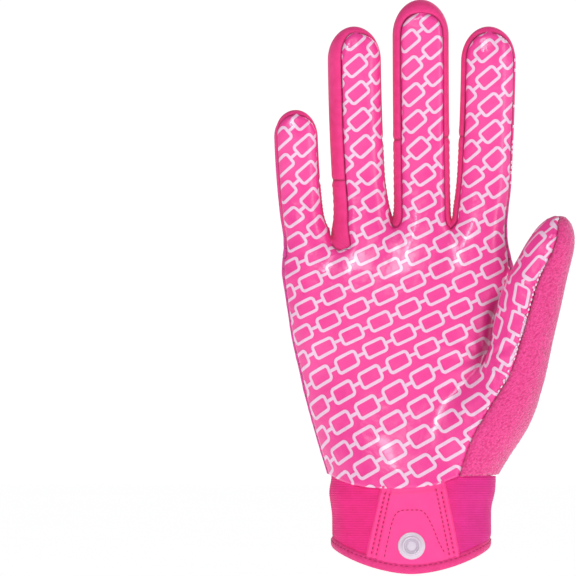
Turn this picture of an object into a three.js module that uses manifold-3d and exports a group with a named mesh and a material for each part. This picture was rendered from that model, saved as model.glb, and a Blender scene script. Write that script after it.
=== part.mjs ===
// A receiver glove for the right hand, filled out as on a hand and standing on its cuff.
// Millimetres, +Z towards the fingertips, the palm faces -Y and the thumb is at +X.
// The origin is the centre of the wrist opening, level with the lowest point of the hem.
import * as THREE from "three";
import { mergeVertices } from "three/addons/utils/BufferGeometryUtils.js";
import Module from "manifold-3d";

// Driving sizes: the wrist
const cuffHeight = 38;
const wristWidth = 63.8;
const wristDepth = 44;
const elasticWall = 1.6;

// Driving sizes: the hand
const palmLength = 106; // cuff top to the webs beside the middle finger
const palmWidth = 94;
const palmDepth = 31;
const fingerLength = 91; // the webs' line to the middle fingertip
const fabricWall = 1.3;
const seamGap = 0.3;
const sideSeamForward = 3; // how far in front of the hand's middle plane the palm and back meet
const fingerCurl = 4; // how far a fingertip leans towards the palm
const gussetFoot = 3.5; // how far a gusset reaches below its web
const palmOverCuff = 3; // how far the palm's lower edge hangs over the cuff at its middle
const palmEdgeRise = 5; // how much higher that edge lies at the sides
const palmEdgeLow = 0.085; // the edge's lowest place, a share of palmWidth towards the little finger
const palmEdgeReach = 0.37; // from there to where it has risen by palmEdgeRise, a share of palmWidth
const tipRounding = 0.64; // length of a rounded tip for each unit of finger width
const rootDepthGain = 1.42; // how much deeper a finger is at its root than above it
const rootOpening = 0.9; // height over which a finger narrows above its web, for each unit of its width
const rootSpread = 0.55; // how fast a root widens below its web
const outerLineShare = 0.559; // the hand's outer side from the centre line, a share of palmWidth

// Driving sizes: the thumb
const thumbHeight = 108; // cuff top to the thumb's tip
const thumbSpread = 66.4; // glove's centre line to the thumb's outer side
const thumbForward = 15; // how far the thumb stands in front of the palm's middle plane
const thumbDepth = 34; // across the ball of the thumb
const thumbRootUp = 0.5; // shares of thumbHeight: where the towelling starts on the thumb's back,
const crotchUp = 0.79; // and where the thumb leaves the hand
const thumbRootOut = 0.62; // inner side of the thumb's towelled back, a share of thumbSpread

// Driving sizes: closures and trims
const hemDip = 10; // the hem's sides lie this much higher than its middle on the palm side
const hemBackRise = 6; // the back of the hem lies this much higher than its front
const hemHeight = 4.5;
const hemWall = 3;
const hemProud = 0.3; // share of the hem that stands out past the elastic
const hemDipPower = 2.1; // how suddenly the hem rises to the sides
const hemFlat = 0.22; // half of the hem's flat side, a share of its height
const hemLip = 0.25; // width of each bevel at its edges, a share of its wall
const patchTopWidth = 26;
const patchBottomWidth = 39;
const patchWall = 1.9;
const snapDiameter = 11.2;
const snapHeight = 2.2;
const snapUp = 11.6; // snap's centre above the lowest point of the hem
const strapHeight = 33;
const strapUp = 4; // strap's lower edge above the origin
const strapWall = 1.8;
const strapEdgeWidth = 4;
const strapEdgeWall = 2.6;
const labelWall = 0.7;
const labelMargin = 1.2; // bare strap between its edge binding and the label
const slitWidth = 5;
const slitBindingDiameter = 2.4;
const slitFoot = 6; // how far the slit reaches below the top of the cuff
const strapRise = 5; // how much higher the strap's upper edge lies at the thumb side
const strapLift = 8; // how much its lower edge is drawn up there, behind the hem
const strapLiftReach = 0.35; // share of the strap over which that edge comes down again
const strapRiseReach = 0.3;
const strapFrom = 114; // the strap's ends, as angles round the wrist
const strapTo = 246;
const strapEndPower = 2.4; // 2 is a half circle, more is squarer
const strapEndLength = 0.95; // length of the rounded end for each unit of half height
const labelStart = 0.2; // share of the strap before the label
const slitUp = 0.29; // the slit's top above the cuff, a share of palmLength

// Facets: how finely the round forms are cut
const fingerSides = 14;
const palmSides = 28;
const wristSides = 40;
const edgeSteps = 18; // along the palm's lower edge,
const edgeReach = 0.75; // which is drawn this far to each side, a share of palmWidth
const snapSides = 28;
const bindingSteps = 30;
const beadSteps = 22;
const beadSides = 8;
const sectionPower = 2.3; // 2 is an ellipse, more is squarer

// One row a finger, from the little finger to the index finger. rootWidth, width: shares of palmWidth, where
// the fingers part and above it. depth: share of palmDepth. reach: tip above the webs' line, a share of
// fingerLength. lean: how far the tip stands towards the thumb from the root, a share of palmWidth.
// leftSide, rightSide: the angles that the side strips cover, from the palm side round towards the thumb.
// tipCover: how far the strip folds over the fingertip, a share of fingerLength.
const fingers = [
  { name: "little", rootWidth: 0.218, width: 0.187, depth: 0.471, reach: 0.503, lean: -0.053,
    leftSide: null, rightSide: [78, 165], tipCover: 0.018 },
  { name: "ring", rootWidth: 0.265, width: 0.23, depth: 0.548, reach: 0.879, lean: -0.04,
    leftSide: [-112, -28], rightSide: [80, 158], tipCover: 0.026 },
  { name: "middle", rootWidth: 0.252, width: 0.245, depth: 0.574, reach: 1, lean: -0.0085,
    leftSide: [-127, -46], rightSide: [54, 137], tipCover: 0.062 },
  { name: "index", rootWidth: 0.255, width: 0.238, depth: 0.555, reach: 0.879, lean: 0.034,
    leftSide: [-129, -58], rightSide: null, tipCover: 0.024 },
];

// One row a web, from the little finger's, in shares of fingerLength. drop: below the webs' line.
// gussetRise: top of the gusset above it.
const webs = [
  { name: "little_ring", drop: 0.11, gussetRise: 0.187 },
  { name: "ring_middle", drop: 0, gussetRise: 0.374 },
  { name: "middle_index", drop: 0, gussetRise: 0.385 },
];
const outerWebDrop = 0.044; // the same for the outer sides of the hand, below the nearest web

// Palm sections. up: share of palmLength. left, right: shares of palmWidth from the centre line.
// depth: half depth as a share of palmDepth.
const palmRows = [
  { up: -0.08, left: 0.34, right: 0.34, depth: 0.71 },
  { up: 0.0, left: 0.35, right: 0.35, depth: 0.7 },
  { up: 0.06, left: 0.376, right: 0.37, depth: 0.66 },
  { up: 0.19, left: 0.419, right: 0.395, depth: 0.57 },
  { up: 0.37, left: 0.475, right: 0.425, depth: 0.52 },
  { up: 0.55, left: 0.503, right: 0.436, depth: 0.5 },
  { up: 0.72, left: 0.53, right: 0.438, depth: 0.48 },
  { up: 0.82, left: 0.548, right: 0.434, depth: 0.43 },
  { up: 0.9, left: 0.553, right: 0.42, depth: 0.33 },
];

// Sections of the thumb and its ball. up: share of thumbHeight. left, right: shares of thumbSpread from the
// centre line. forward: share of thumbForward. depth: half depth as a share of thumbDepth.
const thumbRows = [
  { up: -0.06, left: 0.0, right: 0.45, forward: 0.0, depth: 0.5 },
  { up: 0.02, left: 0.03, right: 0.53, forward: 0.08, depth: 0.5 },
  { up: 0.11, left: 0.09, right: 0.617, forward: 0.2, depth: 0.5 },
  { up: 0.2, left: 0.18, right: 0.705, forward: 0.33, depth: 0.485 },
  { up: 0.3, left: 0.29, right: 0.777, forward: 0.47, depth: 0.455 },
  { up: 0.39, left: 0.39, right: 0.822, forward: 0.6, depth: 0.42 },
  { up: 0.5, left: 0.474, right: 0.855, forward: 0.77, depth: 0.37 },
  { up: 0.59, left: 0.494, right: 0.889, forward: 0.87, depth: 0.34 },
  { up: 0.69, left: 0.532, right: 0.926, forward: 0.93, depth: 0.32 },
  { up: 0.78, left: 0.6, right: 0.958, forward: 0.97, depth: 0.3 },
  { up: 0.867, left: 0.685, right: 0.992, forward: 1.0, depth: 0.275 },
  { up: 0.926, left: 0.745, right: 1.0, forward: 1.0, depth: 0.235 },
  { up: 0.967, left: 0.81, right: 0.985, forward: 1.0, depth: 0.17 },
  { up: 0.99, left: 0.87, right: 0.96, forward: 1.0, depth: 0.09 },
];

// Seam between the printed palm and the towelling. up: share of thumbHeight. out: share of thumbSpread.
const terrySeam = [
  { up: -0.1, out: 0.25 },
  { up: 0.028, out: 0.297 },
  { up: 0.156, out: 0.364 },
  { up: 0.297, out: 0.5 },
  { up: 0.407, out: 0.617 },
  { up: 0.532, out: 0.673 },
  { up: 0.637, out: 0.726 },
  { up: 0.734, out: 0.765 },
  { up: 0.814, out: 0.82 },
  { up: 0.9, out: 0.915 },
  { up: 1.1, out: 1.0 },
];

// Thumb-side edge of the knitted back. up: share of palmLength. out: share of palmWidth.
const backEdge = [
  { up: -0.15, out: 0.24 },
  { up: 0.08, out: 0.325 },
  { up: 0.31, out: 0.44 },
  { up: 0.6, out: 0.445 },
];

const handMaterials = {
  print: new THREE.MeshStandardMaterial({ color: 0xff3fa0, roughness: 0.3, metalness: 0 }),
  knit: new THREE.MeshStandardMaterial({ color: 0xe83aa8, roughness: 0.85, metalness: 0 }),
  jersey: new THREE.MeshStandardMaterial({ color: 0xe8307e, roughness: 0.8, metalness: 0 }),
  towel: new THREE.MeshStandardMaterial({ color: 0xec4a96, roughness: 0.95, metalness: 0 }),
  elastic: new THREE.MeshStandardMaterial({ color: 0xe42f94, roughness: 0.8, metalness: 0 }),
  trim: new THREE.MeshStandardMaterial({ color: 0xe63a90, roughness: 0.7, metalness: 0 }),
  leather: new THREE.MeshStandardMaterial({ color: 0xff3f95, roughness: 0.55, metalness: 0 }),
  snap: new THREE.MeshStandardMaterial({ color: 0xe6e2ea, roughness: 0.35, metalness: 0 }),
};

const wasm = await Module();
wasm.setup();

const webLine = cuffHeight + palmLength;
const far = palmWidth + thumbSpread; // longer than anything that a cutter has to pass
const degree = Math.PI / 180;

// Solids for cutting and joining

function solidFrom(geometry) {
  const bare = geometry.clone();
  for (const name of Object.keys(bare.attributes)) {
    if (name !== "position") {
      bare.deleteAttribute(name);
    }
  }
  const merged = mergeVertices(bare, 1e-4);
  return new wasm.Manifold(
    new wasm.Mesh({
      numProp: 3,
      vertProperties: merged.attributes.position.array,
      triVerts: new Uint32Array(merged.index.array),
    }),
  );
}

function geometryFrom(solid) {
  const mesh = solid.simplify(0.03).getMesh();
  const positions = new Float32Array(mesh.numVert * 3);
  for (let i = 0; i < mesh.numVert; i++) {
    positions.set(mesh.vertProperties.subarray(i * mesh.numProp, i * mesh.numProp + 3), i * 3);
  }
  const geometry = new THREE.BufferGeometry();
  geometry.setAttribute("position", new THREE.BufferAttribute(positions, 3));
  geometry.setIndex(new THREE.BufferAttribute(mesh.triVerts, 1));
  return geometry;
}

function joined(solids) {
  return solids.reduce((whole, solid) => whole.add(solid));
}

// A closed body through rings of equal count, each a list of Vector3, from the lowest to the highest.
function loft(rings) {
  const count = rings[0].length;
  const points = rings.flat();
  const faces = [];
  for (let r = 0; r + 1 < rings.length; r++) {
    for (let i = 0; i < count; i++) {
      const a = r * count + i;
      const b = r * count + ((i + 1) % count);
      faces.push(a, b, b + count, a, b + count, a + count);
    }
  }
  [0, rings.length - 1].forEach((r) => {
    const centre = new THREE.Vector3();
    rings[r].forEach((p) => centre.addScaledVector(p, 1 / count));
    points.push(centre);
    for (let i = 0; i < count; i++) {
      const a = r * count + i;
      const b = r * count + ((i + 1) % count);
      faces.push(...(r === 0 ? [b, a] : [a, b]), points.length - 1);
    }
  });
  return new THREE.BufferGeometry().setFromPoints(points).setIndex(faces);
}

// A thin sheet between two grids. place(u, v, layer) gives the outer side at layer 0, the inner at layer 1.
function sheet(across, along, place) {
  const points = [];
  const faces = [];
  const row = across + 1;
  const layerSize = row * (along + 1);
  for (let layer = 0; layer < 2; layer++) {
    for (let j = 0; j <= along; j++) {
      for (let i = 0; i <= across; i++) {
        points.push(place(i / across, j / along, layer));
      }
    }
  }
  const quad = (a, b, c, d) => faces.push(a, b, c, a, c, d);
  for (let j = 0; j < along; j++) {
    for (let i = 0; i < across; i++) {
      const a = j * row + i;
      quad(a, a + 1, a + 1 + row, a + row);
      quad(a + layerSize, a + row + layerSize, a + 1 + row + layerSize, a + 1 + layerSize);
    }
  }
  for (let i = 0; i < across; i++) {
    const top = along * row + i;
    quad(i + 1, i, i + layerSize, i + 1 + layerSize);
    quad(top, top + 1, top + 1 + layerSize, top + layerSize);
  }
  for (let j = 0; j < along; j++) {
    const left = j * row;
    const right = left + across;
    quad(left, left + row, left + row + layerSize, left + layerSize);
    quad(right + row, right, right + layerSize, right + row + layerSize);
  }
  return new THREE.BufferGeometry().setFromPoints(points).setIndex(faces);
}

// A prism across the glove from an outline of [x, z] pairs, between two depths.
function prism(outline, front, back) {
  const shape = new THREE.Shape(outline.map(([x, z]) => new THREE.Vector2(x, -z)));
  const geometry = new THREE.ExtrudeGeometry(shape, { depth: back - front, bevelEnabled: false });
  geometry.rotateX(-Math.PI / 2);
  geometry.translate(0, front, 0);
  return solidFrom(geometry);
}

function mix(a, b, t) {
  return a + (b - a) * t;
}

function smooth(low, high, value) {
  const t = Math.min(1, Math.max(0, (value - low) / (high - low)));
  return t * t * (3 - 2 * t);
}

// A row's columns at any height between the rows of a table, by straight lines.
function readTable(rows, up) {
  let k = rows.findIndex((row) => row.up > up);
  k = k < 0 ? rows.length - 1 : Math.max(1, k);
  const [low, high] = [rows[k - 1], rows[k]];
  const t = Math.min(1, Math.max(0, (up - low.up) / (high.up - low.up)));
  return Object.fromEntries(Object.keys(low).map((key) => [key, mix(low[key], high[key], t)]));
}

// The hand's form: level sections, each a rounded rectangle from left to right

function sectionRing(section, z, sides) {
  const centre = (section.left + section.right) / 2;
  const half = (section.right - section.left) / 2;
  return Array.from({ length: sides }, (_, i) => {
    const angle = (i / sides) * 2 * Math.PI;
    const round = (value) => Math.sign(value) * Math.abs(value) ** (2 / sectionPower);
    return new THREE.Vector3(
      centre + half * round(Math.cos(angle)),
      section.y + section.halfDepth * round(Math.sin(angle)),
      z,
    );
  });
}

function palmSection(z, inset) {
  const row = readTable(palmRows, (z - cuffHeight) / palmLength);
  return {
    left: -row.left * palmWidth + inset,
    right: row.right * palmWidth - inset,
    y: 0,
    halfDepth: row.depth * palmDepth - inset,
  };
}

function thumbSection(z, inset) {
  const row = readTable(thumbRows, (z - cuffHeight) / thumbHeight);
  return {
    left: row.left * thumbSpread + inset,
    right: row.right * thumbSpread - inset,
    y: -row.forward * thumbForward,
    halfDepth: row.depth * thumbDepth - inset,
  };
}

// Where the fingers part: the lines between their roots, from the palm's outer edge inwards.
const rootLines = [-outerLineShare * palmWidth];
fingers.forEach((finger) => rootLines.push(rootLines.at(-1) + finger.rootWidth * palmWidth));
const webZ = webs.map((web) => webLine - web.drop * fingerLength);
const outerDrop = outerWebDrop * fingerLength;
const builtFingers = fingers.map((finger, i) => ({
  ...finger,
  rootX: (rootLines[i] + rootLines[i + 1]) / 2,
  rootHalf: (finger.rootWidth * palmWidth) / 2,
  width: finger.width * palmWidth,
  depth: finger.depth * palmDepth,
  lean: finger.lean * palmWidth,
  tipZ: webLine + finger.reach * fingerLength,
  coverZ: webLine + (finger.reach - finger.tipCover) * fingerLength,
  leftWeb: webZ[i - 1] ?? webZ[i] - outerDrop,
  rightWeb: webZ[i] ?? webLine - outerDrop,
}));
const gussetTops = webs.map((web) => webLine + web.gussetRise * fingerLength);

function fingerAxis(finger, z) {
  const root = Math.min(finger.leftWeb, finger.rightWeb);
  const along = Math.min(1, Math.max(0, (z - root) / (finger.tipZ - root)));
  return {
    x: finger.rootX + finger.lean * (1 - (1 - along) ** 2),
    y: -fingerCurl * along ** 2,
  };
}

const palmShare = 0.98; // an outer root stays this far inside the palm's edge

// Half widths run from the line between two roots to the finger's own half width above the web. A side with
// no neighbour follows the palm's own edge below the web.
function fingerSection(finger, z, inset) {
  const axis = fingerAxis(finger, z);
  const tip = finger.tipZ - inset;
  const cap = tipRounding * finger.width;
  const inTip = Math.max(0, (z - (tip - cap)) / cap);
  const roundedTip = Math.sqrt(Math.max(0, 1 - inTip ** 2));
  const palm = palmSection(z, 0);
  const sideHalf = (web, neighbour, palmEdge) => {
    const open = smooth(web, web + finger.width * rootOpening, z);
    const root = finger.rootHalf;
    const under = Math.min(Math.max(0, web - z) * rootSpread, root / 2);
    const insidePalm = Math.min(root, palmEdge * palmShare);
    return mix(neighbour ? root + under : insidePalm, finger.width / 2, open);
  };
  const deepening = smooth(webLine + finger.width, webLine - finger.width, z);
  const depth = finger.depth * mix(1, rootDepthGain, deepening);
  return {
    left: axis.x - (sideHalf(finger.leftWeb, finger.leftSide, axis.x - palm.left) - inset) * roundedTip,
    right: axis.x + (sideHalf(finger.rightWeb, finger.rightSide, palm.right - axis.x) - inset) * roundedTip,
    y: axis.y,
    halfDepth: (depth / 2 - inset) * roundedTip,
  };
}

// Where a finger's sections lie: shares of its straight part, then angles up its rounded tip
const bodySteps = [0, 0.14, 0.27, 0.36, 0.46, 0.58, 0.75, 1];
const tipAngles = [28, 50, 68, 82];

function fingerSolid(finger, inset) {
  const start = Math.min(finger.leftWeb, finger.rightWeb) - finger.width;
  const tip = finger.tipZ - inset;
  const cap = tipRounding * finger.width;
  const body = bodySteps.map((t) => mix(start, tip - cap, t));
  const rounded = tipAngles.map((angle) => tip - cap + cap * Math.sin(angle * degree));
  const heights = [...body, ...rounded];
  const rings = heights.map((z) => sectionRing(fingerSection(finger, z, inset), z, fingerSides));
  return solidFrom(loft(rings));
}

function tableSolid(rows, length, section, sides, inset) {
  const heights = rows.map((row) => cuffHeight + row.up * length);
  heights[heights.length - 1] -= inset;
  return solidFrom(loft(heights.map((z) => sectionRing(section(z, inset), z, sides))));
}

function handSolid(inset) {
  return joined([
    tableSolid(palmRows, palmLength, palmSection, palmSides, inset),
    tableSolid(thumbRows, thumbHeight, thumbSection, fingerSides, inset),
    ...builtFingers.map((finger) => fingerSolid(finger, inset)),
  ]);
}

// The palm's lower edge is an arc across the front, lowest a little towards the little finger.
function lowerEdge(x) {
  const aside = (x / palmWidth + palmEdgeLow) / palmEdgeReach;
  return cuffHeight - palmOverCuff + palmEdgeRise * aside ** 2;
}

const aboveCuff = (() => {
  const reach = palmWidth * edgeReach;
  const arc = Array.from({ length: edgeSteps + 1 }, (_, i) => {
    const x = mix(-reach, reach, i / edgeSteps);
    return [x, lowerEdge(x)];
  });
  return prism([...arc, [reach, far * 2], [-reach, far * 2]], -far, far);
})();

// The slit at the thumb side of the wrist, from the cuff up to a rounded end.
const slitTop = cuffHeight + palmLength * slitUp;
function backEdgeX(z) {
  return readTable(backEdge, (z - cuffHeight) / palmLength).out * palmWidth;
}
const slitRows = [
  { up: 0, open: 0.45 },
  { up: 0.35, open: 0.75 },
  { up: 0.7, open: 1 },
  { up: 0.9, open: 0.75 },
  { up: 1, open: 0.2 },
];
const slitCutter = (() => {
  const foot = cuffHeight - slitFoot;
  const heights = slitRows.map((row) => mix(foot, slitTop, row.up));
  const left = heights.map((z) => [backEdgeX(z), z]);
  const right = heights.map((z, i) => [backEdgeX(z) + slitRows[i].open * slitWidth, z]);
  return prism([...left, ...right.reverse()], 0, far);
})();

const glove = handSolid(0).subtract(handSolid(fabricWall)).intersect(aboveCuff).subtract(slitCutter);

// Regions that part the hand's skin into its panels. Each takes grow, half a seam's gap outward or inward.

const regionStep = 30; // degrees
const regionLevels = [0.35, 0.7]; // a region follows the finger's lean at these shares of its height

// The share of one finger between two angles and two heights.
function fingerRegion(finger, [from, to], low, high, grow) {
  const widen = (grow / (finger.width / 2)) / degree;
  const [start, end] = [from - widen, to + widen];
  const steps = Math.ceil((end - start) / regionStep);
  const inner = regionLevels.map((t) => mix(low, high, t));
  const rings = [low - grow, ...inner, high + grow].map((z) => {
    const axis = fingerAxis(finger, z);
    const ring = [new THREE.Vector3(axis.x, axis.y, z)];
    for (let i = 0; i <= steps; i++) {
      const angle = mix(start, end, i / steps) * degree;
      const reach = finger.width;
      ring.push(new THREE.Vector3(axis.x + reach * Math.sin(angle), axis.y - reach * Math.cos(angle), z));
    }
    return ring;
  });
  return solidFrom(loft(rings)).intersect(fingerSolid(finger, -grow));
}

function gussetRegion(index, grow) {
  const [left, right] = [builtFingers[index], builtFingers[index + 1]];
  const low = webZ[index] - gussetFoot;
  return joined([
    fingerRegion(left, left.rightSide, low, gussetTops[index], grow),
    fingerRegion(right, right.leftSide, low, gussetTops[index], grow),
  ]);
}

function sideStripRegion(index, grow) {
  const finger = builtFingers[index];
  const cover = finger.coverZ;
  const lap = seamGap * 2;
  const [left, right] = [finger.rootX - finger.width, finger.rootX + finger.width];
  const above = prism([[left, cover - grow], [right, cover - grow], [right, far * 2], [left, far * 2]],
    -far, far);
  const parts = [above.intersect(fingerSolid(finger, -grow))];
  if (finger.leftSide) {
    parts.push(fingerRegion(finger, finger.leftSide, gussetTops[index - 1] + seamGap, cover + lap, grow));
  }
  if (finger.rightSide) {
    parts.push(fingerRegion(finger, finger.rightSide, gussetTops[index] + seamGap, cover + lap, grow));
  }
  return joined(parts);
}

const thumbBackShare = 0.9; // the towelled back starts at this share of thumbForward

function terryRegion(grow) {
  const seam = terrySeam.map((row) => [row.out * thumbSpread - grow, cuffHeight + row.up * thumbHeight]);
  const edge = backEdge.map((row) => [row.out * palmWidth - grow, cuffHeight + row.up * palmLength]);
  const thumbRoot = cuffHeight + thumbRootUp * thumbHeight;
  const crotch = cuffHeight + crotchUp * thumbHeight;
  const inner = thumbRootOut * thumbSpread - grow;
  const front = prism([...seam, [far, far], [far, 0]], -far, -sideSeamForward + grow);
  const side = prism([...edge, [backEdgeX(far) - grow, crotch], [far, crotch], [far, 0]],
    -sideSeamForward - 1, far);
  const thumbBack = prism(
    [[inner, thumbRoot - grow], [far, thumbRoot - grow], [far, far], [inner, far]],
    -thumbForward * thumbBackShare - grow, far);
  return joined([front, side, thumbBack]);
}

const terryCut = terryRegion(seamGap / 2);
const gussetCuts = webs.map((_, i) => gussetRegion(i, seamGap / 2));
const stripCuts = fingers.map((_, i) => sideStripRegion(i, seamGap / 2));
const sideCuts = joined([...gussetCuts, ...stripCuts]);

// The index finger beside the thumb isn't part of the towelling.
const indexGuard = fingerSolid(builtFingers[3], -seamGap / 2);
const terryOnly = terryRegion(-seamGap / 2).subtract(indexGuard);
const skin = glove.subtract(terryCut.subtract(indexGuard)).subtract(sideCuts);
const frontHalf = prism([[-far, -far], [far, -far], [far, far * 2], [-far, far * 2]],
  -far, -sideSeamForward - seamGap / 2);
const backHalf = prism([[-far, -far], [far, -far], [far, far * 2], [-far, far * 2]],
  -sideSeamForward + seamGap / 2, far);

// The largest body of a solid, without the slivers that a cut can leave.
function mainBody(solid) {
  return solid.decompose().sort((a, b) => b.volume() - a.volume())[0];
}

const group = new THREE.Group();
function add(name, geometry, material) {
  const mesh = new THREE.Mesh(geometry, material);
  mesh.name = name;
  group.add(mesh);
  return mesh;
}

add("palm_panel", geometryFrom(mainBody(skin.intersect(frontHalf))), handMaterials.print);
add("back_panel", geometryFrom(mainBody(skin.intersect(backHalf))), handMaterials.knit);
add("thumb_towel", geometryFrom(mainBody(glove.intersect(terryOnly))), handMaterials.towel);
webs.forEach((web, i) => {
  const body = glove.intersect(gussetRegion(i, -seamGap / 2));
  add("gusset_" + web.name, geometryFrom(mainBody(body)), handMaterials.jersey);
});
fingers.forEach((finger, i) => {
  const body = glove.intersect(sideStripRegion(i, -seamGap / 2));
  add("side_strip_" + finger.name, geometryFrom(mainBody(body)), handMaterials.jersey);
});

// The wrist: angles run from the palm side (0) round the thumb side (90) to the back (180)

function wristPoint(angle, out, z) {
  const round = (value) => Math.sign(value) * Math.abs(value) ** (2 / sectionPower);
  const x = (wristWidth / 2 + out) * round(Math.sin(angle * degree));
  const y = -(wristDepth / 2 + out) * round(Math.cos(angle * degree));
  return new THREE.Vector3(x, y, z);
}

function hemZ(angle) {
  const turn = angle * degree;
  return hemDip * Math.abs(Math.sin(turn)) ** hemDipPower + hemBackRise * (1 - Math.cos(turn)) / 2;
}

// A closed ring round the wrist. outline(angle) lists its section as [out, z] pairs, the outer side first.
function wristRing(outline) {
  const rings = Array.from({ length: wristSides }, (_, i) => {
    const angle = (i / wristSides) * 360;
    return outline(angle).map(([out, z]) => wristPoint(angle, out, z));
  });
  const count = rings[0].length;
  const faces = [];
  for (let r = 0; r < rings.length; r++) {
    const next = (r + 1) % rings.length;
    for (let i = 0; i < count; i++) {
      const [a, b] = [r * count + i, r * count + ((i + 1) % count)];
      const [c, d] = [next * count + i, next * count + ((i + 1) % count)];
      faces.push(a, c, d, a, d, b);
    }
  }
  return new THREE.BufferGeometry().setFromPoints(rings.flat()).setIndex(faces);
}

function cuffRing(inner, outer) {
  return solidFrom(wristRing((angle) => {
    const low = hemZ(angle) + hemHeight + seamGap;
    const high = lowerEdge(wristPoint(angle, 0, 0).x) - seamGap;
    return [[outer, low], [outer, high], [inner, high], [inner, low]];
  }));
}

function patchRegion(grow) {
  const [top, bottom] = [patchTopWidth / 2 + grow, patchBottomWidth / 2 + grow];
  const high = cuffHeight + palmEdgeRise;
  return prism([[-bottom, 0], [bottom, 0], [top, high], [-top, high]], -far, 0);
}

const cuff = cuffRing(-elasticWall, 0).subtract(patchRegion(seamGap / 2));
const patch = cuffRing(-elasticWall, patchWall - elasticWall).intersect(patchRegion(-seamGap / 2));
add("cuff_elastic", geometryFrom(cuff), handMaterials.elastic);
add("cuff_patch", geometryFrom(patch), handMaterials.leather);

const hem = wristRing((angle) => {
  const low = hemZ(angle);
  const [mid, top] = [low + hemHeight / 2, low + hemHeight];
  const outer = hemWall * hemProud;
  const inner = outer - hemWall;
  const [lip, flat] = [hemWall * hemLip, hemHeight * hemFlat];
  return [
    [outer - lip, low],
    [outer, mid - flat],
    [outer, mid + flat],
    [outer - lip, top],
    [inner + lip, top],
    [inner, mid + flat],
    [inner, mid - flat],
    [inner + lip, low],
  ];
});
add("hem_binding", hem, handMaterials.trim);

// Snap: a low disc with a raised ring round a hollow middle
const snapOutline = [
  [0, 0], [0.5, 0], [0.5, 0.3], [0.42, 0.6], [0.34, 0.66], [0.31, 1], [0.24, 1], [0.2, 0.5], [0, 0.45],
].map(([r, h]) => new THREE.Vector2(r * snapDiameter, h * snapHeight));
const snap = new THREE.LatheGeometry(snapOutline, snapSides);
snap.rotateX(Math.PI);
snap.translate(0, -(wristDepth / 2 + patchWall - elasticWall + seamGap), snapUp);
add("snap", geometryFrom(solidFrom(snap)), handMaterials.snap);

// The strap lies on the back of the cuff. Its places are given along it from the thumb side (0) to the
// rounded end (1), and across it in millimetres from its middle line.
const strapMiddle = strapUp + strapHeight / 2;
const strapClear = hemWall * hemProud + seamGap;
const strapLength = ((strapTo - strapFrom) / 360) * Math.PI * (wristWidth + wristDepth) * 0.5;

function strapPoint(length, across, out) {
  const along = length / strapLength;
  const angle = mix(strapFrom, strapTo, along);
  const up = across / strapHeight + 0.5;
  const rise = strapRise * smooth(strapRiseReach, 0, along) * up
    + strapLift * smooth(strapLiftReach, 0, along) * (1 - up);
  return wristPoint(angle, strapClear + out, strapMiddle + across + rise);
}

// Half height of a strap-shaped plate at a length along it, drawn in by a margin from the strap's outline.
function strapHalf(length, margin) {
  const half = strapHeight / 2 - margin;
  const end = strapLength - margin;
  const round = half * strapEndLength;
  const inEnd = Math.max(0, length - (end - round)) / round;
  return half * Math.max(0, 1 - inEnd ** strapEndPower) ** (1 / strapEndPower);
}

const plateEnd = 0.997; // a plate stops just short of the outline's far point,
const plateCrowding = 1.6; // and its sections stand closer together towards it

function strapPlate(margin, start, low, high, across, along) {
  return sheet(along, across, (u, v, layer) => {
    const end = strapLength - margin;
    const length = mix(start, end * plateEnd, 1 - (1 - u) ** plateCrowding);
    const half = strapHalf(length, margin);
    return strapPoint(length, mix(-half, half, v), layer === 0 ? high : low);
  });
}

add("strap", strapPlate(strapEdgeWidth + seamGap, 0, 0, strapWall, 4, 16), handMaterials.leather);
add("strap_label",
  strapPlate(strapEdgeWidth + labelMargin, strapLength * labelStart, strapWall + seamGap,
    strapWall + seamGap + labelWall, 4, 12),
  handMaterials.leather);

// The binding runs along the lower edge, round the end and back along the upper edge.
const binding = sheet(bindingSteps, 2, (u, v, layer) => {
  const turn = u * 2 - 1;
  const outline = (margin) => {
    const half = strapHeight / 2 - margin;
    const round = half * strapEndLength;
    const straight = strapLength - margin - round;
    const share = Math.abs(turn);
    if (share > 0.5) {
      return [straight * (1 - share) * 2, Math.sign(turn) * half];
    }
    const bend = share * Math.PI;
    const power = 2 / strapEndPower;
    const across = Math.sign(turn) * half * Math.sin(bend) ** power;
    return [straight + round * Math.cos(bend) ** power, across];
  };
  const [length, across] = outline(mix(0, strapEdgeWidth, v));
  const crown = Math.sin(v * Math.PI) * (strapEdgeWall - strapWall);
  return strapPoint(length, across, layer === 0 ? strapWall + crown : 0);
});
add("strap_binding", binding, handMaterials.trim);

// The slit's bound edge, a bead up one side, round the end and down the other
function surfaceY(x, z) {
  const heights = [palmSection(z, 0), thumbSection(z, 0)].map((section) => {
    const half = (section.right - section.left) / 2;
    const off = Math.abs(x - section.left - half) / half;
    return section.y + section.halfDepth * Math.max(0, 1 - off ** sectionPower) ** (1 / sectionPower);
  });
  return Math.max(...heights);
}

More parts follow.
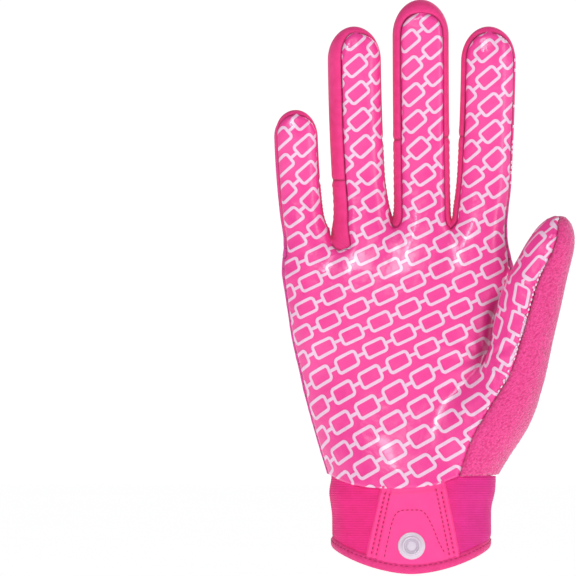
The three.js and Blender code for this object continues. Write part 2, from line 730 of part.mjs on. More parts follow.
const slitPath = (() => {
  const low = cuffHeight + slitFoot;
  const place = (x, z) => new THREE.Vector3(x, surfaceY(x, z) + seamGap, z);
  const aside = slitBindingDiameter / 4;
  const left = slitRows.slice(1).map((row) => {
    const z = mix(low, slitTop, row.up);
    return place(backEdgeX(z) - aside, z);
  });
  const right = slitRows.slice(1).map((row) => {
    const z = mix(low, slitTop, row.up);
    return place(backEdgeX(z) + row.open * slitWidth + aside, z);
  });
  const end = place(backEdgeX(slitTop) + slitWidth * 0.1, slitTop + aside);
  return new THREE.CatmullRomCurve3([...left, end, ...right.reverse()]);
})();
const slitBead = loft(Array.from({ length: beadSteps + 1 }, (_, i) => {
  const at = slitPath.getPointAt(i / beadSteps);
  const way = slitPath.getTangentAt(i / beadSteps);
  const side = new THREE.Vector3(0, 1, 0).cross(way).normalize();
  const up = way.clone().cross(side);
  return Array.from({ length: beadSides }, (_, k) => {
    const angle = (k / beadSides) * 2 * Math.PI;
    return at.clone()
      .addScaledVector(side, Math.cos(angle) * slitBindingDiameter / 2)
      .addScaledVector(up, Math.sin(angle) * slitBindingDiameter / 2);
  });
}));
const beadSolid = solidFrom(slitBead).subtract(handSolid(-seamGap));
add("slit_binding", geometryFrom(mainBody(beadSolid)), handMaterials.trim);

export default group;
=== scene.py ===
import bpy
import numpy as np
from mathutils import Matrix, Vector


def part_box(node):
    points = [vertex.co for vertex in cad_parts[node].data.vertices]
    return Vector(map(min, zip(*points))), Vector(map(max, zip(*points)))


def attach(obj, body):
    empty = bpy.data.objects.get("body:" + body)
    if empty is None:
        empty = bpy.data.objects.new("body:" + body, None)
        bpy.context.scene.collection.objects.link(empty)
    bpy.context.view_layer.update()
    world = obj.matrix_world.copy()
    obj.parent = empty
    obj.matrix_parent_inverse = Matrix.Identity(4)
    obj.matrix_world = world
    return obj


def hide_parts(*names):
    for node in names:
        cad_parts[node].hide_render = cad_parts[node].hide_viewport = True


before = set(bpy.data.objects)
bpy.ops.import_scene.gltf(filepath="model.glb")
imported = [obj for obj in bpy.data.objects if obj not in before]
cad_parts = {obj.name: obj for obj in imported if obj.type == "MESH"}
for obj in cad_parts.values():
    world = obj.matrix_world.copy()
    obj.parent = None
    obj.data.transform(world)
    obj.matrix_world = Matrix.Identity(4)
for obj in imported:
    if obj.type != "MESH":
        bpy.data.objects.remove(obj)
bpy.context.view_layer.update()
rng = np.random.default_rng(7)
metres = 0.001

# The hand that fills the glove: the same sections as the frame's solids, in shares of these sizes
hand = {
    "cuffTop": 38.0, "palmLength": 106.0, "palmWidth": 94.0, "palmDepth": 31.0, "fingerLength": 91.0,
    "thumbHeight": 108.0, "thumbSpread": 66.4, "thumbForward": 15.0, "thumbDepth": 34.0,
    "curl": 4.0, "power": 2.3, "tipRounding": 0.64, "wristWidth": 63.8, "wristDepth": 44.0,
    "rootOpening": 0.9, "rootSpread": 0.55, "rootDepthGain": 1.42,  # how a finger widens towards its web
    "palmCap": 21.0, "thumbCap": 14.4,  # lengths of the palm's and the thumb's rounded ends
    "blendPalm": 4.0, "blendFingers": 2.2, "blendThumb": 10.0, "blendWrist": 2.0, "blendCrease": 1.0,
}
# up, left, right, half depth
palmRows = np.array([
    [-0.5, 0.336, 0.336, 0.71], [-0.08, 0.342, 0.342, 0.715], [0.0, 0.352, 0.352, 0.715],
    [0.06, 0.376, 0.37, 0.67], [0.19, 0.419, 0.395, 0.575], [0.37, 0.475, 0.425, 0.52],
    [0.55, 0.503, 0.436, 0.5], [0.72, 0.53, 0.438, 0.48], [0.82, 0.548, 0.434, 0.43],
    [0.9, 0.553, 0.42, 0.33], [1.2, 0.553, 0.42, 0.3],
])
# up, left, right, forward, half depth; above 0.867 the width stays and the rounded tip closes it
thumbRows = np.array([
    [-0.3, 0.0, 0.3, 0.0, 0.3], [-0.06, 0.0, 0.45, 0.0, 0.48], [0.02, 0.03, 0.53, 0.08, 0.5],
    [0.11, 0.09, 0.617, 0.2, 0.5], [0.2, 0.18, 0.705, 0.33, 0.485], [0.3, 0.29, 0.777, 0.47, 0.455],
    [0.39, 0.39, 0.822, 0.6, 0.42], [0.5, 0.474, 0.855, 0.77, 0.37], [0.59, 0.494, 0.889, 0.87, 0.34],
    [0.69, 0.532, 0.926, 0.93, 0.32], [0.78, 0.6, 0.96, 0.97, 0.3], [0.867, 0.685, 0.994, 1.0, 0.28],
    [0.926, 0.72, 1.01, 1.0, 0.275], [0.99, 0.765, 1.045, 1.0, 0.27], [1.2, 0.8, 1.08, 1.0, 0.27],
])
# name, root width, width, depth, reach, lean, tip cover, front left and right angles, back left and right
fingerRows = [
    ("little", 0.218, 0.187, 0.471, 0.503, -0.053, 0.018, -66, 78, -84, 165),
    ("ring", 0.265, 0.23, 0.548, 0.879, -0.04, 0.026, -28, 80, -112, 158),
    ("middle", 0.252, 0.245, 0.574, 1.0, -0.0085, 0.062, -46, 54, -127, 137),
    ("index", 0.255, 0.238, 0.555, 0.879, 0.034, 0.024, -58, 72, -129, 90),
]
webDrops = np.array([0.11, 0.0, 0.0]) * hand["fingerLength"]
gussetRises = np.array([0.187, 0.374, 0.385]) * hand["fingerLength"]
outerDrop = 0.044 * hand["fingerLength"]
webFoot = 3.0
webLine = hand["cuffTop"] + hand["palmLength"]
thumbTop = hand["cuffTop"] + hand["thumbHeight"]
webZ = webLine - webDrops
rootX = np.cumsum([-0.559] + [row[1] for row in fingerRows]) * hand["palmWidth"]


def smooth(low, high, value):  # a ramp from 0 to 1 with a flat start and end
    t = np.clip((value - low) / (high - low), 0, 1)
    return t * t * (3 - 2 * t)


def mix(a, b, t):
    return a + (b - a) * t


def signedPower(value, power):
    return np.sign(value) * np.abs(value) ** power


def softTable(rows, column, length):  # straight lines between a table's rows, rounded by a 4 mm bell
    z = np.arange(-40.0, 281.0)
    values = np.interp((z - hand["cuffTop"]) / length, rows[:, 0], rows[:, column])
    bell = np.exp(-0.5 * (np.arange(-12, 13) / 4.0) ** 2)
    padded = np.pad(values, 12, mode="edge")
    rounded = np.convolve(padded, bell / bell.sum(), mode="valid")
    return lambda height: np.interp(height, z, rounded)


palmTable = [softTable(palmRows, column, hand["palmLength"]) for column in (1, 2, 3)]
thumbTable = [softTable(thumbRows, column, hand["thumbHeight"]) for column in (1, 2, 3, 4)]


def palmSection(z):  # centre x, centre y, half width, half depth
    left = -palmTable[0](z) * hand["palmWidth"]
    right = palmTable[1](z) * hand["palmWidth"]
    return (left + right) / 2, 0 * z, (right - left) / 2, palmTable[2](z) * hand["palmDepth"]


def thumbSection(z):
    left = thumbTable[0](z) * hand["thumbSpread"]
    right = thumbTable[1](z) * hand["thumbSpread"]
    depth = thumbTable[3](z) * hand["thumbDepth"]
    return (left + right) / 2, -thumbTable[2](z) * hand["thumbForward"], (right - left) / 2, depth


def makeFinger(index):
    name, root, width, depth, reach, lean, cover, *angles = fingerRows[index]
    return {
        "name": name,
        "rootHalf": root * hand["palmWidth"] / 2,
        "half": width * hand["palmWidth"] / 2,
        "halfDepth": depth * hand["palmDepth"] / 2,
        "rootX": (rootX[index] + rootX[index + 1]) / 2,
        "lean": lean * hand["palmWidth"],
        "tip": webLine + reach * hand["fingerLength"],
        "cover": webLine + (reach - cover) * hand["fingerLength"],
        "leftWeb": webZ[index - 1] if index else webZ[0] - outerDrop,
        "rightWeb": webZ[index] if index < 3 else webLine - outerDrop,
        "hasLeft": index > 0,
        "hasRight": index < 3,
        "front": angles[:2],
        "back": angles[2:],
        "cap": hand["tipRounding"] * width * hand["palmWidth"],
    }


fingers = [makeFinger(index) for index in range(4)]


def fingerSection(finger, z):  # the axis leans out and curls forward; the sides open above each web
    root = min(finger["leftWeb"], finger["rightWeb"])
    reach = np.clip((z - root) / (finger["tip"] - root), 0, 1)
    axis = finger["rootX"] + finger["lean"] * (1 - (1 - reach) ** 2)
    palmX, _, palmHalf, _ = palmSection(z)

    def half(web, neighbour, palmEdge):
        opened = smooth(web, web + 2 * hand["rootOpening"] * finger["half"], z)
        under = np.minimum(np.maximum(0, web - z) * hand["rootSpread"], finger["rootHalf"] * 0.5)
        base = finger["rootHalf"] + under if neighbour else np.minimum(finger["rootHalf"], palmEdge * 0.98)
        return mix(base, finger["half"], opened)

    left = axis - half(finger["leftWeb"], finger["hasLeft"], axis - (palmX - palmHalf))
    right = axis + half(finger["rightWeb"], finger["hasRight"], palmX + palmHalf - axis)
    deepening = smooth(webLine + 2 * finger["half"], webLine - 2 * finger["half"], z)
    depth = finger["halfDepth"] * mix(1, hand["rootDepthGain"], deepening)
    return (left + right) / 2, -hand["curl"] * reach ** 2, (right - left) / 2, depth


def tubeField(points, section, capStart, cap):  # how far outside a rounded tube, about zero on its surface
    centreX, centreY, halfX, halfY = section
    power = hand["power"]
    across = (np.abs((points[..., 0] - centreX) / halfX) ** power
              + np.abs((points[..., 1] - centreY) / halfY) ** power) ** (1 / power)
    over = np.maximum(0, points[..., 2] - capStart) / cap
    return (np.sqrt(across ** 2 + over ** 2) - 1) * np.minimum(halfX, halfY)


def softMin(a, b, k):
    h = np.maximum(k - np.abs(a - b), 0) / k
    return np.minimum(a, b) - h * h * k / 4


def handParts(points):  # palm with its fingers, and the thumb, each as a field of its own
    z = points[..., 2]
    below = 8 * smooth(100, 55, z)  # the fingers' tubes end inside the palm
    whole = None
    for finger in fingers:
        cap = finger["cap"]
        one = tubeField(points, fingerSection(finger, z), finger["tip"] - cap, cap) + below
        whole = one if whole is None else softMin(whole, one, hand["blendFingers"])
    palm = tubeField(points, palmSection(z), hand["cuffTop"] + 0.78 * hand["palmLength"], hand["palmCap"])
    thumb = tubeField(points, thumbSection(z), thumbTop - hand["thumbCap"], hand["thumbCap"])
    return softMin(whole, palm, hand["blendPalm"]), thumb


def thumbBlend(z):  # a wide hollow at the ball of the thumb, sharp ones at the wrist and in the crease
    wide = mix(hand["blendWrist"], hand["blendThumb"], smooth(42, 62, z))
    return mix(wide, hand["blendCrease"], smooth(66, 88, z)) + 5 * smooth(104, 118, z)


def field(points):  # the whole hand melted together
    whole, thumb = handParts(points)
    return softMin(whole, thumb, thumbBlend(points[..., 2]))


def parted(points, palmAway, thumbAway):  # the same, with one part pushed away above the crease's foot
    whole, thumb = handParts(points)
    away = 60 * smooth(83, 92, points[..., 2])
    return softMin(whole + palmAway * away, thumb + thumbAway * away, thumbBlend(points[..., 2]))


def palmForm(points):
    return parted(points, 0, 1)


def thumbForm(points):
    return parted(points, 1, 0)


def slope(points, form=field):  # the field and its gradient by small steps
    value = form(points)
    step = 0.05
    parts = [(form(points + step * axis) - value) / step for axis in np.eye(3)]
    return value, np.stack(parts, axis=-1)


def ontoForm(points, rounds=7, form=field, level=0.0):  # walks down the gradient; level 1 keeps heights
    points = np.array(points, float)
    for _ in range(rounds):
        value, gradient = slope(points, form)
        gradient[..., 2] *= 1 - level
        size = np.maximum((gradient ** 2).sum(-1), 0.04)
        move = np.clip(value / size, -4, 4)
        points -= gradient * move[..., None]
    return points


def outward(points):
    _, gradient = slope(points)
    return gradient / np.linalg.norm(gradient, axis=-1, keepdims=True)


def faceY(x, z, side):  # the first surface met along the depth, from the palm (-1) or the back (1)
    depths = side * np.arange(36.0, -4.0, -0.5)
    points = np.stack(np.broadcast_arrays(x[..., None], depths, z[..., None]), axis=-1)
    inside = field(points) < 0
    first = np.argmax(inside, axis=-1)
    first = np.where(inside.any(axis=-1), first, len(depths) - 1)
    return depths[first]


def arcLength(points):  # length along a line up to each of its points
    return np.concatenate([[0], np.cumsum(np.linalg.norm(np.diff(points, axis=0), axis=1))])


def atLengths(points, lengths):  # a line's points at given lengths along it
    arc = arcLength(points)
    return np.stack([np.interp(lengths, arc, points[:, axis]) for axis in range(3)], axis=-1)


def stepped(points, count):  # a line's points, spaced evenly along it
    return atLengths(points, np.linspace(0, arcLength(points)[-1], count))


def along(points, count):  # a smooth curve through given points (Catmull-Rom), evenly stepped
    points = np.array(points, float)
    padded = np.vstack([2 * points[0] - points[1], points, 2 * points[-1] - points[-2]])
    t = np.linspace(0, len(points) - 1 - 1e-9, 400)
    k = t.astype(int)
    f = (t - k)[:, None]
    a, b, c, d = padded[k], padded[k + 1], padded[k + 2], padded[k + 3]
    curve = 0.5 * (2 * b + (c - a) * f + (2 * a - 5 * b + 4 * c - d) * f ** 2
                   + (3 * b - a - 3 * c + d) * f ** 3)
    return stepped(curve, count)


# Grid sizes: rows up the palm, each finger and a tip; columns across each finger, the thumb's print, a
# side strip and the towelling
grid = {"palmRows": 104, "fingerRows": 112, "tipRows": 40, "columns": [26, 30, 30, 32], "thumb": 40,
        "strip": 14, "towel": 120}
# up and across, in shares of the palm's or the thumb's sizes
backEdgeRows = np.array([[-0.15, 0.24], [0.08, 0.325], [0.31, 0.44], [0.6, 0.445], [0.78, 0.437]])
terryRows = np.array([
    [-0.1, 0.25], [0.028, 0.297], [0.156, 0.364], [0.297, 0.5], [0.407, 0.617], [0.532, 0.673],
    [0.637, 0.726], [0.734, 0.765], [0.814, 0.82], [0.9, 0.9],
])
backEdge = softTable(backEdgeRows, 1, hand["palmLength"])
terrySeam = softTable(terryRows, 1, hand["thumbHeight"])


hemline = {"over": 3.0, "lowAt": 0.085, "reach": 0.37, "rise": 5.0, "little": 9.0, "thumb": 3.0, "most": 11.0,
           "towelFrom": 18.5, "towelTo": 34.5, "towelHigh": 5.2, "towelLow": 3.2}


def lowerEdge(x):  # the palm's rises by 5 u^2 + b u^4, more on the little finger's side; then the towelling's
    u = (x + hemline["lowAt"] * hand["palmWidth"]) / (hemline["reach"] * hand["palmWidth"])
    rise = hemline["rise"] * u ** 2 + np.where(u < 0, hemline["little"], hemline["thumb"]) * u ** 4
    share = np.clip((x - hemline["towelFrom"]) / (hemline["towelTo"] - hemline["towelFrom"]), 0, 1)
    towel = mix(hemline["towelHigh"], hemline["towelLow"], share)
    palm = np.minimum(rise, hemline["most"])
    return hand["cuffTop"] - hemline["over"] + np.where(x > hemline["towelFrom"], towel, palm)


def fingerPoint(finger, z, angle):  # a point on the finger's own section at an angle from the palm side
    centreX, centreY, halfX, halfY = fingerSection(finger, z)
    over = np.clip((z - (finger["tip"] - finger["cap"])) / finger["cap"], 0, 0.999)
    dome = np.sqrt(1 - over ** 2)
    turn = np.radians(angle)
    x = centreX + halfX * dome * signedPower(np.sin(turn), 2 / hand["power"])
    y = centreY - halfY * dome * signedPower(np.cos(turn), 2 / hand["power"])
    return np.stack(np.broadcast_arrays(x, y, z), axis=-1)


# A finger panel's rounded end: share of its rows before it, its height, its squareness and how far it closes
tipPart = {"from": 0.7, "reach": 9.0, "power": 2 / 2.6, "turn": 1.42}


def climb(a):  # share of a height for a row: flat at the web, then even
    flat = 0.03
    return (np.sqrt(a ** 2 + flat ** 2) - flat) / (np.sqrt(1 + flat ** 2) - flat)


def ladder(finger, low, a):  # height and width share of a panel's row: straight sides, then a rounded end
    foot = finger["cover"] - tipPart["reach"]
    turn = np.clip((a - tipPart["from"]) / (1 - tipPart["from"]), 0, 1) * tipPart["turn"]
    z = mix(low, foot, climb(np.clip(a / tipPart["from"], 0, 1)))
    z = z + tipPart["reach"] * np.sin(turn) ** tipPart["power"]
    return z, np.cos(turn) ** tipPart["power"]


def sidePoint(finger, side, low, a, face):  # the border on one side of a finger; face 1 is the back's
    z, width = ladder(finger, low, a)
    which = 0 if side < 0 else 1
    angle = mix(180.0 * side, finger["back"][which], width) if face else finger["front"][which] * width
    return fingerPoint(finger, z, angle)


def webCurve(index, q, face):  # down one finger's side, round the web and up the next finger's side
    low = webZ[index] - webFoot
    a = np.abs(q)
    leftPoint = sidePoint(fingers[index], 1, low, a, face)
    rightPoint = sidePoint(fingers[index + 1], -1, low, a, face)
    return mix(leftPoint, rightPoint, smooth(-0.05, 0.05, q)[..., None])


def outerCurve(finger, side, a, face):  # the outer side of the little or the index finger
    low = finger["leftWeb"] if side < 0 else finger["rightWeb"]
    which = 0 if side < 0 else 1
    z, width = ladder(finger, low, a)
    seamAngle = finger["front"][which]
    opened = mix(seamAngle, finger["back"][which], smooth(0, 0.25, a))
    angle = mix(180.0 * side, opened, width) if face else seamAngle * width
    return fingerPoint(finger, z, angle)


def slerp(first, last, t):  # turns from one direction to another by the short way
    firstLength = np.linalg.norm(first, axis=-1, keepdims=True)
    lastLength = np.linalg.norm(last, axis=-1, keepdims=True)
    a, b = first / firstLength, last / lastLength
    angle = np.arccos(np.clip((a * b).sum(-1, keepdims=True), -0.9999, 0.99999))
    direction = (np.sin((1 - t) * angle) * a + np.sin(t * angle) * b) / np.sin(angle)
    return direction * mix(firstLength, lastLength, t)


def fan(core, first, last, count, form=field):  # columns that turn about a core from one border to the other
    t = np.linspace(0, 1, count)[None, :, None]
    spread = core[:, None] + slerp((first - core)[:, None], (last - core)[:, None], t)
    return pinned(ontoForm(spread, 7, form), first, last)


def bearing(points, core):  # level angle and distance of each point from its core
    x, y = points[:, 0] - core[:, 0], points[:, 1] - core[:, 1]
    return np.arctan2(x, -y), np.hypot(x, y)


def wrap(core, first, last, count, form):  # the same the long way round, by the level angle about the core
    t = np.linspace(0, 1, count)[None, :]
    startAngle, startReach = bearing(first, core)
    endAngle, endReach = bearing(last, core)
    endAngle = np.where(endAngle < startAngle, endAngle + 2 * np.pi, endAngle)
    angle = mix(startAngle[:, None], endAngle[:, None], t)
    reach = mix(startReach[:, None], endReach[:, None], t)
    z = mix(first[:, 2:3], last[:, 2:3], t)
    x, y = core[:, 0:1] + reach * np.sin(angle), core[:, 1:2] - reach * np.cos(angle)
    return pinned(ontoForm(np.stack([x, y, z], axis=-1), 7, form), first, last)


def pinned(points, first, last):
    points[:, 0] = first
    points[:, -1] = last
    return points


def evened(points, left, right, form=field):  # spaces a row's points evenly along its own length
    even = np.stack([stepped(row, len(row)) for row in points])
    return pinned(ontoForm(even, 4, form), left, right)


print("borders")
rows = grid["palmRows"]
crotchRow = int(round(rows * 0.8))
a = np.linspace(0, 1, grid["fingerRows"])
thumbPole = np.array([60.6, -15.6, thumbTop])

# Finger borders: for each finger and face, its left and right sides from the web to the covered tip
fingerBorders = {}
for index, finger in enumerate(fingers):
    for face in (0, 1):
        left = webCurve(index - 1, a, face) if index else outerCurve(finger, -1, a, face)
        right = webCurve(index, -a, face) if index < 3 else outerCurve(finger, 1, a, face)
        fingerBorders[index, face] = (ontoForm(left), ontoForm(right))
for index in range(3):  # neighbours share the point of their web
    for face in (0, 1):
        fingerBorders[index + 1, face][0][0] = fingerBorders[index, face][1][0]
for index, side in ((0, 0), (3, 1)):  # the outer seams start as one line
    fingerBorders[index, 1][side][0] = fingerBorders[index, 0][side][0]


def palmShare(x, z):  # place across the palm, from -1 to 1, at a height
    centre, _, half, _ = palmSection(np.array(z))
    return (x - centre) / half


def palmLine(index, face):  # from the palm's lower edge to a web, keeping its share of the palm's width
    top = fingerBorders[index, face][1][0]
    footX = (-21.5, -9.0, 2.0)[index]
    t = np.linspace(0, 1, rows)
    z = np.linspace(lowerEdge(footX), top[2], rows)
    centre, _, half, _ = palmSection(z)
    x = centre + mix(palmShare(footX, 38.0), palmShare(rootX[index + 1], 120.0), t) * half
    x += (top[0] - x[-1]) * smooth(0, 1, t) ** 2
    y = faceY(x, z, 1 if face else -1)
    line = ontoForm(np.stack([x, y, z], axis=-1))
    line[-1] = top
    return line


def sideLine():  # the seam down the little finger's side of the palm
    top = fingerBorders[0, 0][0][0]
    z = np.linspace(lowerEdge(-34.6), top[2], rows)
    centre, _, half, _ = palmSection(z)
    line = ontoForm(np.stack([centre - half, np.full(rows, -3.0), z], axis=-1))
    line[-1] = top
    return line


def findCrotch():  # the highest place where thumb and palm still touch
    x, y, z = np.meshgrid(np.arange(34, 46, 0.3), np.arange(-18, 4, 0.4), np.arange(106, 128, 0.4),
                          indexing="ij")
    points = np.stack([x, y, z], axis=-1)
    whole, thumb = handParts(points)
    apart = np.maximum(whole, thumb).reshape(-1, z.shape[2]).min(axis=0)
    level = int(np.max(np.nonzero(apart < 0.15)[0]))
    best = int(np.argmin(np.maximum(whole, thumb)[:, :, level]))
    return points[:, :, level].reshape(-1, 3)[best]


crotch = ontoForm(findCrotch()[None] + np.array([[0.8, 1.0, 4.0]]))[0]
indexStart = fingerBorders[3, 0][1][0]


def creasePoints(z):  # where the palm's face meets the thumb's inner side: onto one and the other in turn
    centreX, centreY, halfX, _ = thumbSection(z)
    points = np.stack([centreX - halfX, centreY - 3.0, z], axis=-1)
    for _ in range(40):
        points = ontoForm(points, 1, lambda p: handParts(p)[0], 1)
        points = ontoForm(points, 1, lambda p: handParts(p)[1], 1)
    return points


creaseTop = creasePoints(np.linspace(89, 114, 9))
creaseFoot = [[11, -20, lowerEdge(11.0)], [16.5, -19, 54], [22.5, -17.5, 70], [28, -15, 81]]
creaseLow = along(np.vstack([creaseFoot, creaseTop, [crotch]]), crotchRow + 1)
onSkin = smooth(90, 84, creaseLow[:, 2:3])
creaseLow = mix(creaseLow, ontoForm(creaseLow), onSkin)
creaseLow[-1] = crotch
aboveCrotch = along([crotch, [41.0, -4.5, 130.0], indexStart], rows - crotchRow)
onSkin = smooth(0, 3, aboveCrotch[:, 2:3] - crotch[2])
aboveCrotch = mix(aboveCrotch, ontoForm(aboveCrotch, 7, palmForm), onSkin)
aboveCrotch[0], aboveCrotch[-1] = crotch, indexStart
creaseLine = np.vstack([creaseLow, aboveCrotch[1:]])

slit = {"top": hand["cuffTop"] + hand["palmLength"] * 0.29, "width": 5.5, "length": 34.0,
        "tapeRadius": 1.4, "tapeLift": 0.5}


def slitOpening(z):  # nothing at its top, widest a third of the way below it
    t = np.clip((slit["top"] - z) / slit["length"], 0, 1)
    return slit["width"] * np.clip(t * 5, 0, 1) ** 0.5 * mix(1, 0.45, smooth(0.3, 1, t))


def backLine(shift):  # the back's edge at the thumb side; shift 1 gives the towelling's side of the slit
    z = np.linspace(hand["cuffTop"] + 2.5, 104.0, 60)
    x = backEdge(z) * hand["palmWidth"] + shift * slitOpening(z)
    y = faceY(x, z, 1)
    upper = [[42.2, 2.0, 112.0], [41.8, -2.0, 118.0], crotch]
    points = np.vstack([np.stack([x, y, z], axis=-1)[::6], upper])
    line = ontoForm(along(points, crotchRow + 1))
    line[-1] = crotch
    return line


backLow = backLine(0)
towelLow = backLine(1)
backSide = np.vstack([backLow, aboveCrotch[1:]])

# The towelling's front seam and the thumb's inner seam, rows up to the crotch and on to the pole of the tip
tipRows = grid["tipRows"]
tipShare = 1 - (1 - np.linspace(0, 1, tipRows)) ** 1.7


def seamPoint(z):
    x = terrySeam(z) * hand["thumbSpread"]
    return np.stack([x, faceY(x, z, -1), z], axis=-1)


seamLow = ontoForm(seamPoint(np.linspace(lowerEdge(18.6), 119.0, crotchRow + 1)))
seamHigh = ontoForm(seamPoint(mix(119.0, 141.0, tipShare[:-9])))
seamEnd = ontoForm(along([seamHigh[-1], [60.0, -19.5, 143.6], thumbPole], 10))[1:]
terryLine = np.vstack([seamLow, seamHigh[1:], seamEnd])
innerZ = mix(crotch[2], 142.0, tipShare[:-9])
centreX, centreY, halfX, halfY = thumbSection(innerZ)
innerTurn = np.radians(np.linspace(-118, -98, len(innerZ)))
innerHigh = ontoForm(np.stack([centreX + halfX * 0.98 * signedPower(np.sin(innerTurn), 0.87),
                               centreY - halfY * signedPower(np.cos(innerTurn), 0.87), innerZ], axis=-1))
innerHigh[0] = crotch
innerEnd = ontoForm(along([innerHigh[-1], [57.0, -15.0, 144.3], thumbPole], 10))[1:]
innerLine = np.vstack([innerHigh, innerEnd])
terryLine[-1] = innerLine[-1] = ontoForm(thumbPole[None])[0]
thumbLeft = np.vstack([creaseLow, innerLine[1:]])
towelBack = np.vstack([towelLow, innerLine[1:]])
thumbRowCount = len(terryLine)

print("panels")


def palmBlock(index, face, leftLine, rightLine):  # between two lines, turned about a core inside the palm
    form, depth = (field, -5.0) if face else (palmForm, 2.0)
    core = (leftLine + rightLine) / 2
    core[:, 0] -= 4.0 if (index, face) == (3, 1) else 0.0
    core[:, 1] = depth
    points = fan(core, leftLine, rightLine, grid["columns"][index], form)
    low = lowerEdge(points[0, :, 0])
    points[..., 2] += (low - points[0, :, 2])[None] * (1 - np.linspace(0, 1, rows)[:, None]) ** 3
    points = evened(points, leftLine, rightLine, form)
    points[0, :, 2] = lowerEdge(points[0, :, 0])
    return pinned(ontoForm(points, 4, form, 1), leftLine, rightLine)


def fingerBlock(index, face, rootRow):
    finger = fingers[index]
    left, right = fingerBorders[index, face]
    columns = grid["columns"][index]
    middleZ = (left[:, 2] + right[:, 2]) / 2
    coreZ = np.minimum(middleZ, finger["tip"] - finger["cap"] * 0.9)
    centreX, centreY, _, _ = fingerSection(finger, coreZ)
    form, push = (field, -4.0) if face else (palmForm, 4.0)
    core = np.stack([centreX, centreY + push, coreZ], axis=-1)
    points = evened(fan(core, left, right, columns, form), left, right, form)
    t = np.linspace(0, 1, columns)[None, :, None]
    nearLeft, nearRight = (1 - t) ** 4, t ** 4
    risen = a[:, None, None] / tipPart["from"] * (finger["cover"] - tipPart["reach"] - rootRow[:, 2].mean())
    fromLeft, fromRight = (left - rootRow[0])[:, None], (right - rootRow[-1])[:, None]
    start = (rootRow[None] + fromLeft * nearLeft + fromRight * nearRight
             + risen * (1 - nearLeft - nearRight) * np.array([0.0, 0.0, 1.0]))
    points = mix(start, points, smooth(0, 0.16, a)[:, None, None])
    points = pinned(ontoForm(points, 4, form, (1 - smooth(0.2, 0.5, a))[:, None]), left, right)
    points[0] = rootRow
    return points


palmBlocks = {}
fingerBlocks = {}
for face in (0, 1):
    lines = [sideLine()] + [palmLine(index, face) for index in range(3)]
    lines.append(backSide if face else creaseLine)
    for index in range(4):
        palmBlocks[index, face] = palmBlock(index, face, lines[index], lines[index + 1])
        fingerBlocks[index, face] = fingerBlock(index, face, palmBlocks[index, face][-1])


def thumbCore(first, last):
    z = np.minimum((first[:, 2] + last[:, 2]) / 2, thumbTop - 8)
    centreX, centreY, _, _ = thumbSection(z)
    return np.stack([centreX, centreY, z], axis=-1)


core = thumbCore(thumbLeft, terryLine)
thumbBlock = fan(core, thumbLeft, terryLine, grid["thumb"], thumbForm)
thumbBlock = evened(thumbBlock, thumbLeft, terryLine, thumbForm)
core = thumbCore(towelBack, terryLine)
nearTip = smooth(130, 144, (towelBack[:, 2:3] + terryLine[:, 2:3]) / 2)
core[:, :2] = mix(core[:, :2], terryLine[-1, :2], nearTip)
towelBlock = wrap(core, terryLine, towelBack, grid["towel"], thumbForm)
towelBlock = evened(towelBlock, terryLine, towelBack, thumbForm)


def relaxed(points, weight, rounds=16):  # evens a grid's inner points by their neighbours, by weight
    for _ in range(rounds):
        mean = (points[:-2, 1:-1] + points[2:, 1:-1] + points[1:-1, :-2] + points[1:-1, 2:]) / 4
        points[1:-1, 1:-1] = mix(points[1:-1, 1:-1], mean, weight[1:-1, None, None])
    return points


nearCrotch = np.exp(-(((np.arange(thumbRowCount) - crotchRow) / 7.0) ** 2))
towelBlock = relaxed(towelBlock, nearCrotch, 60)


def fingerCore(finger, z):  # on the finger's axis, below its rounded tip
    z = np.minimum(z, finger["tip"] - finger["cap"] * 0.95)
    centreX, centreY, _, _ = fingerSection(finger, z)
    return np.stack([centreX, centreY, z], axis=-1)


def webCore(index, q):  # from one finger's axis to the next one's, under the web between them
    sink = 9.0 * (1 - smooth(0, 0.12, np.abs(q)))
    left, right = [fingerCore(finger, ladder(finger, webZ[index] - webFoot, np.abs(q))[0] - sink)
                   for finger in fingers[index:index + 2]]
    return mix(left, right, smooth(-0.1, 0.1, q)[:, None])


stripPieces = {name: [] for name in ("little", "ring", "middle", "index")}
gussetPieces = []
for index in range(3):
    front = np.vstack([fingerBorders[index, 0][1][::-1], fingerBorders[index + 1, 0][0][1:]])
    back = np.vstack([fingerBorders[index, 1][1][::-1], fingerBorders[index + 1, 1][0][1:]])
    q = np.concatenate([-a[::-1], a[1:]])
    whole = relaxed(fan(webCore(index, q), front, back, grid["strip"]), 1 - smooth(0.06, 0.2, np.abs(q)))
    top = webLine + gussetRises[index]
    leftTop = int(np.argmin(np.abs(front[:len(a), 2] - top)))
    rightTop = len(a) - 1 + int(np.argmin(np.abs(front[len(a) - 1:, 2] - top)))
    gussetPieces.append(whole[leftTop:rightTop + 1])
    stripPieces[fingers[index]["name"]].append((whole[:leftTop + 1], whole[leftTop]))
    stripPieces[fingers[index + 1]["name"]].append((whole[rightTop:], whole[rightTop]))
for index, finger in enumerate(fingers):  # over each tip, from the palm's panel to the back's
    front, back = fingerBlocks[index, 0][-1], fingerBlocks[index, 1][-1]
    over = fan(fingerCore(finger, front[:, 2]), front, back, grid["strip"])
    stripPieces[finger["name"]].append((over, over[:1, 0]))
for index, side in ((0, 0), (3, 1)):  # down the outer sides of the little and the index finger
    front, back = fingerBorders[index, 0][side], fingerBorders[index, 1][side]
    outer = fan(fingerCore(fingers[index], front[:, 2]), front, back, grid["strip"])
    stripPieces[fingers[index]["name"]].append((outer[::-1] if side else outer, outer[0]))


# From grids to meshes
def makeGrid(points, uv, flip=False):
    return {"points": points, "uv": uv, "flip": flip}


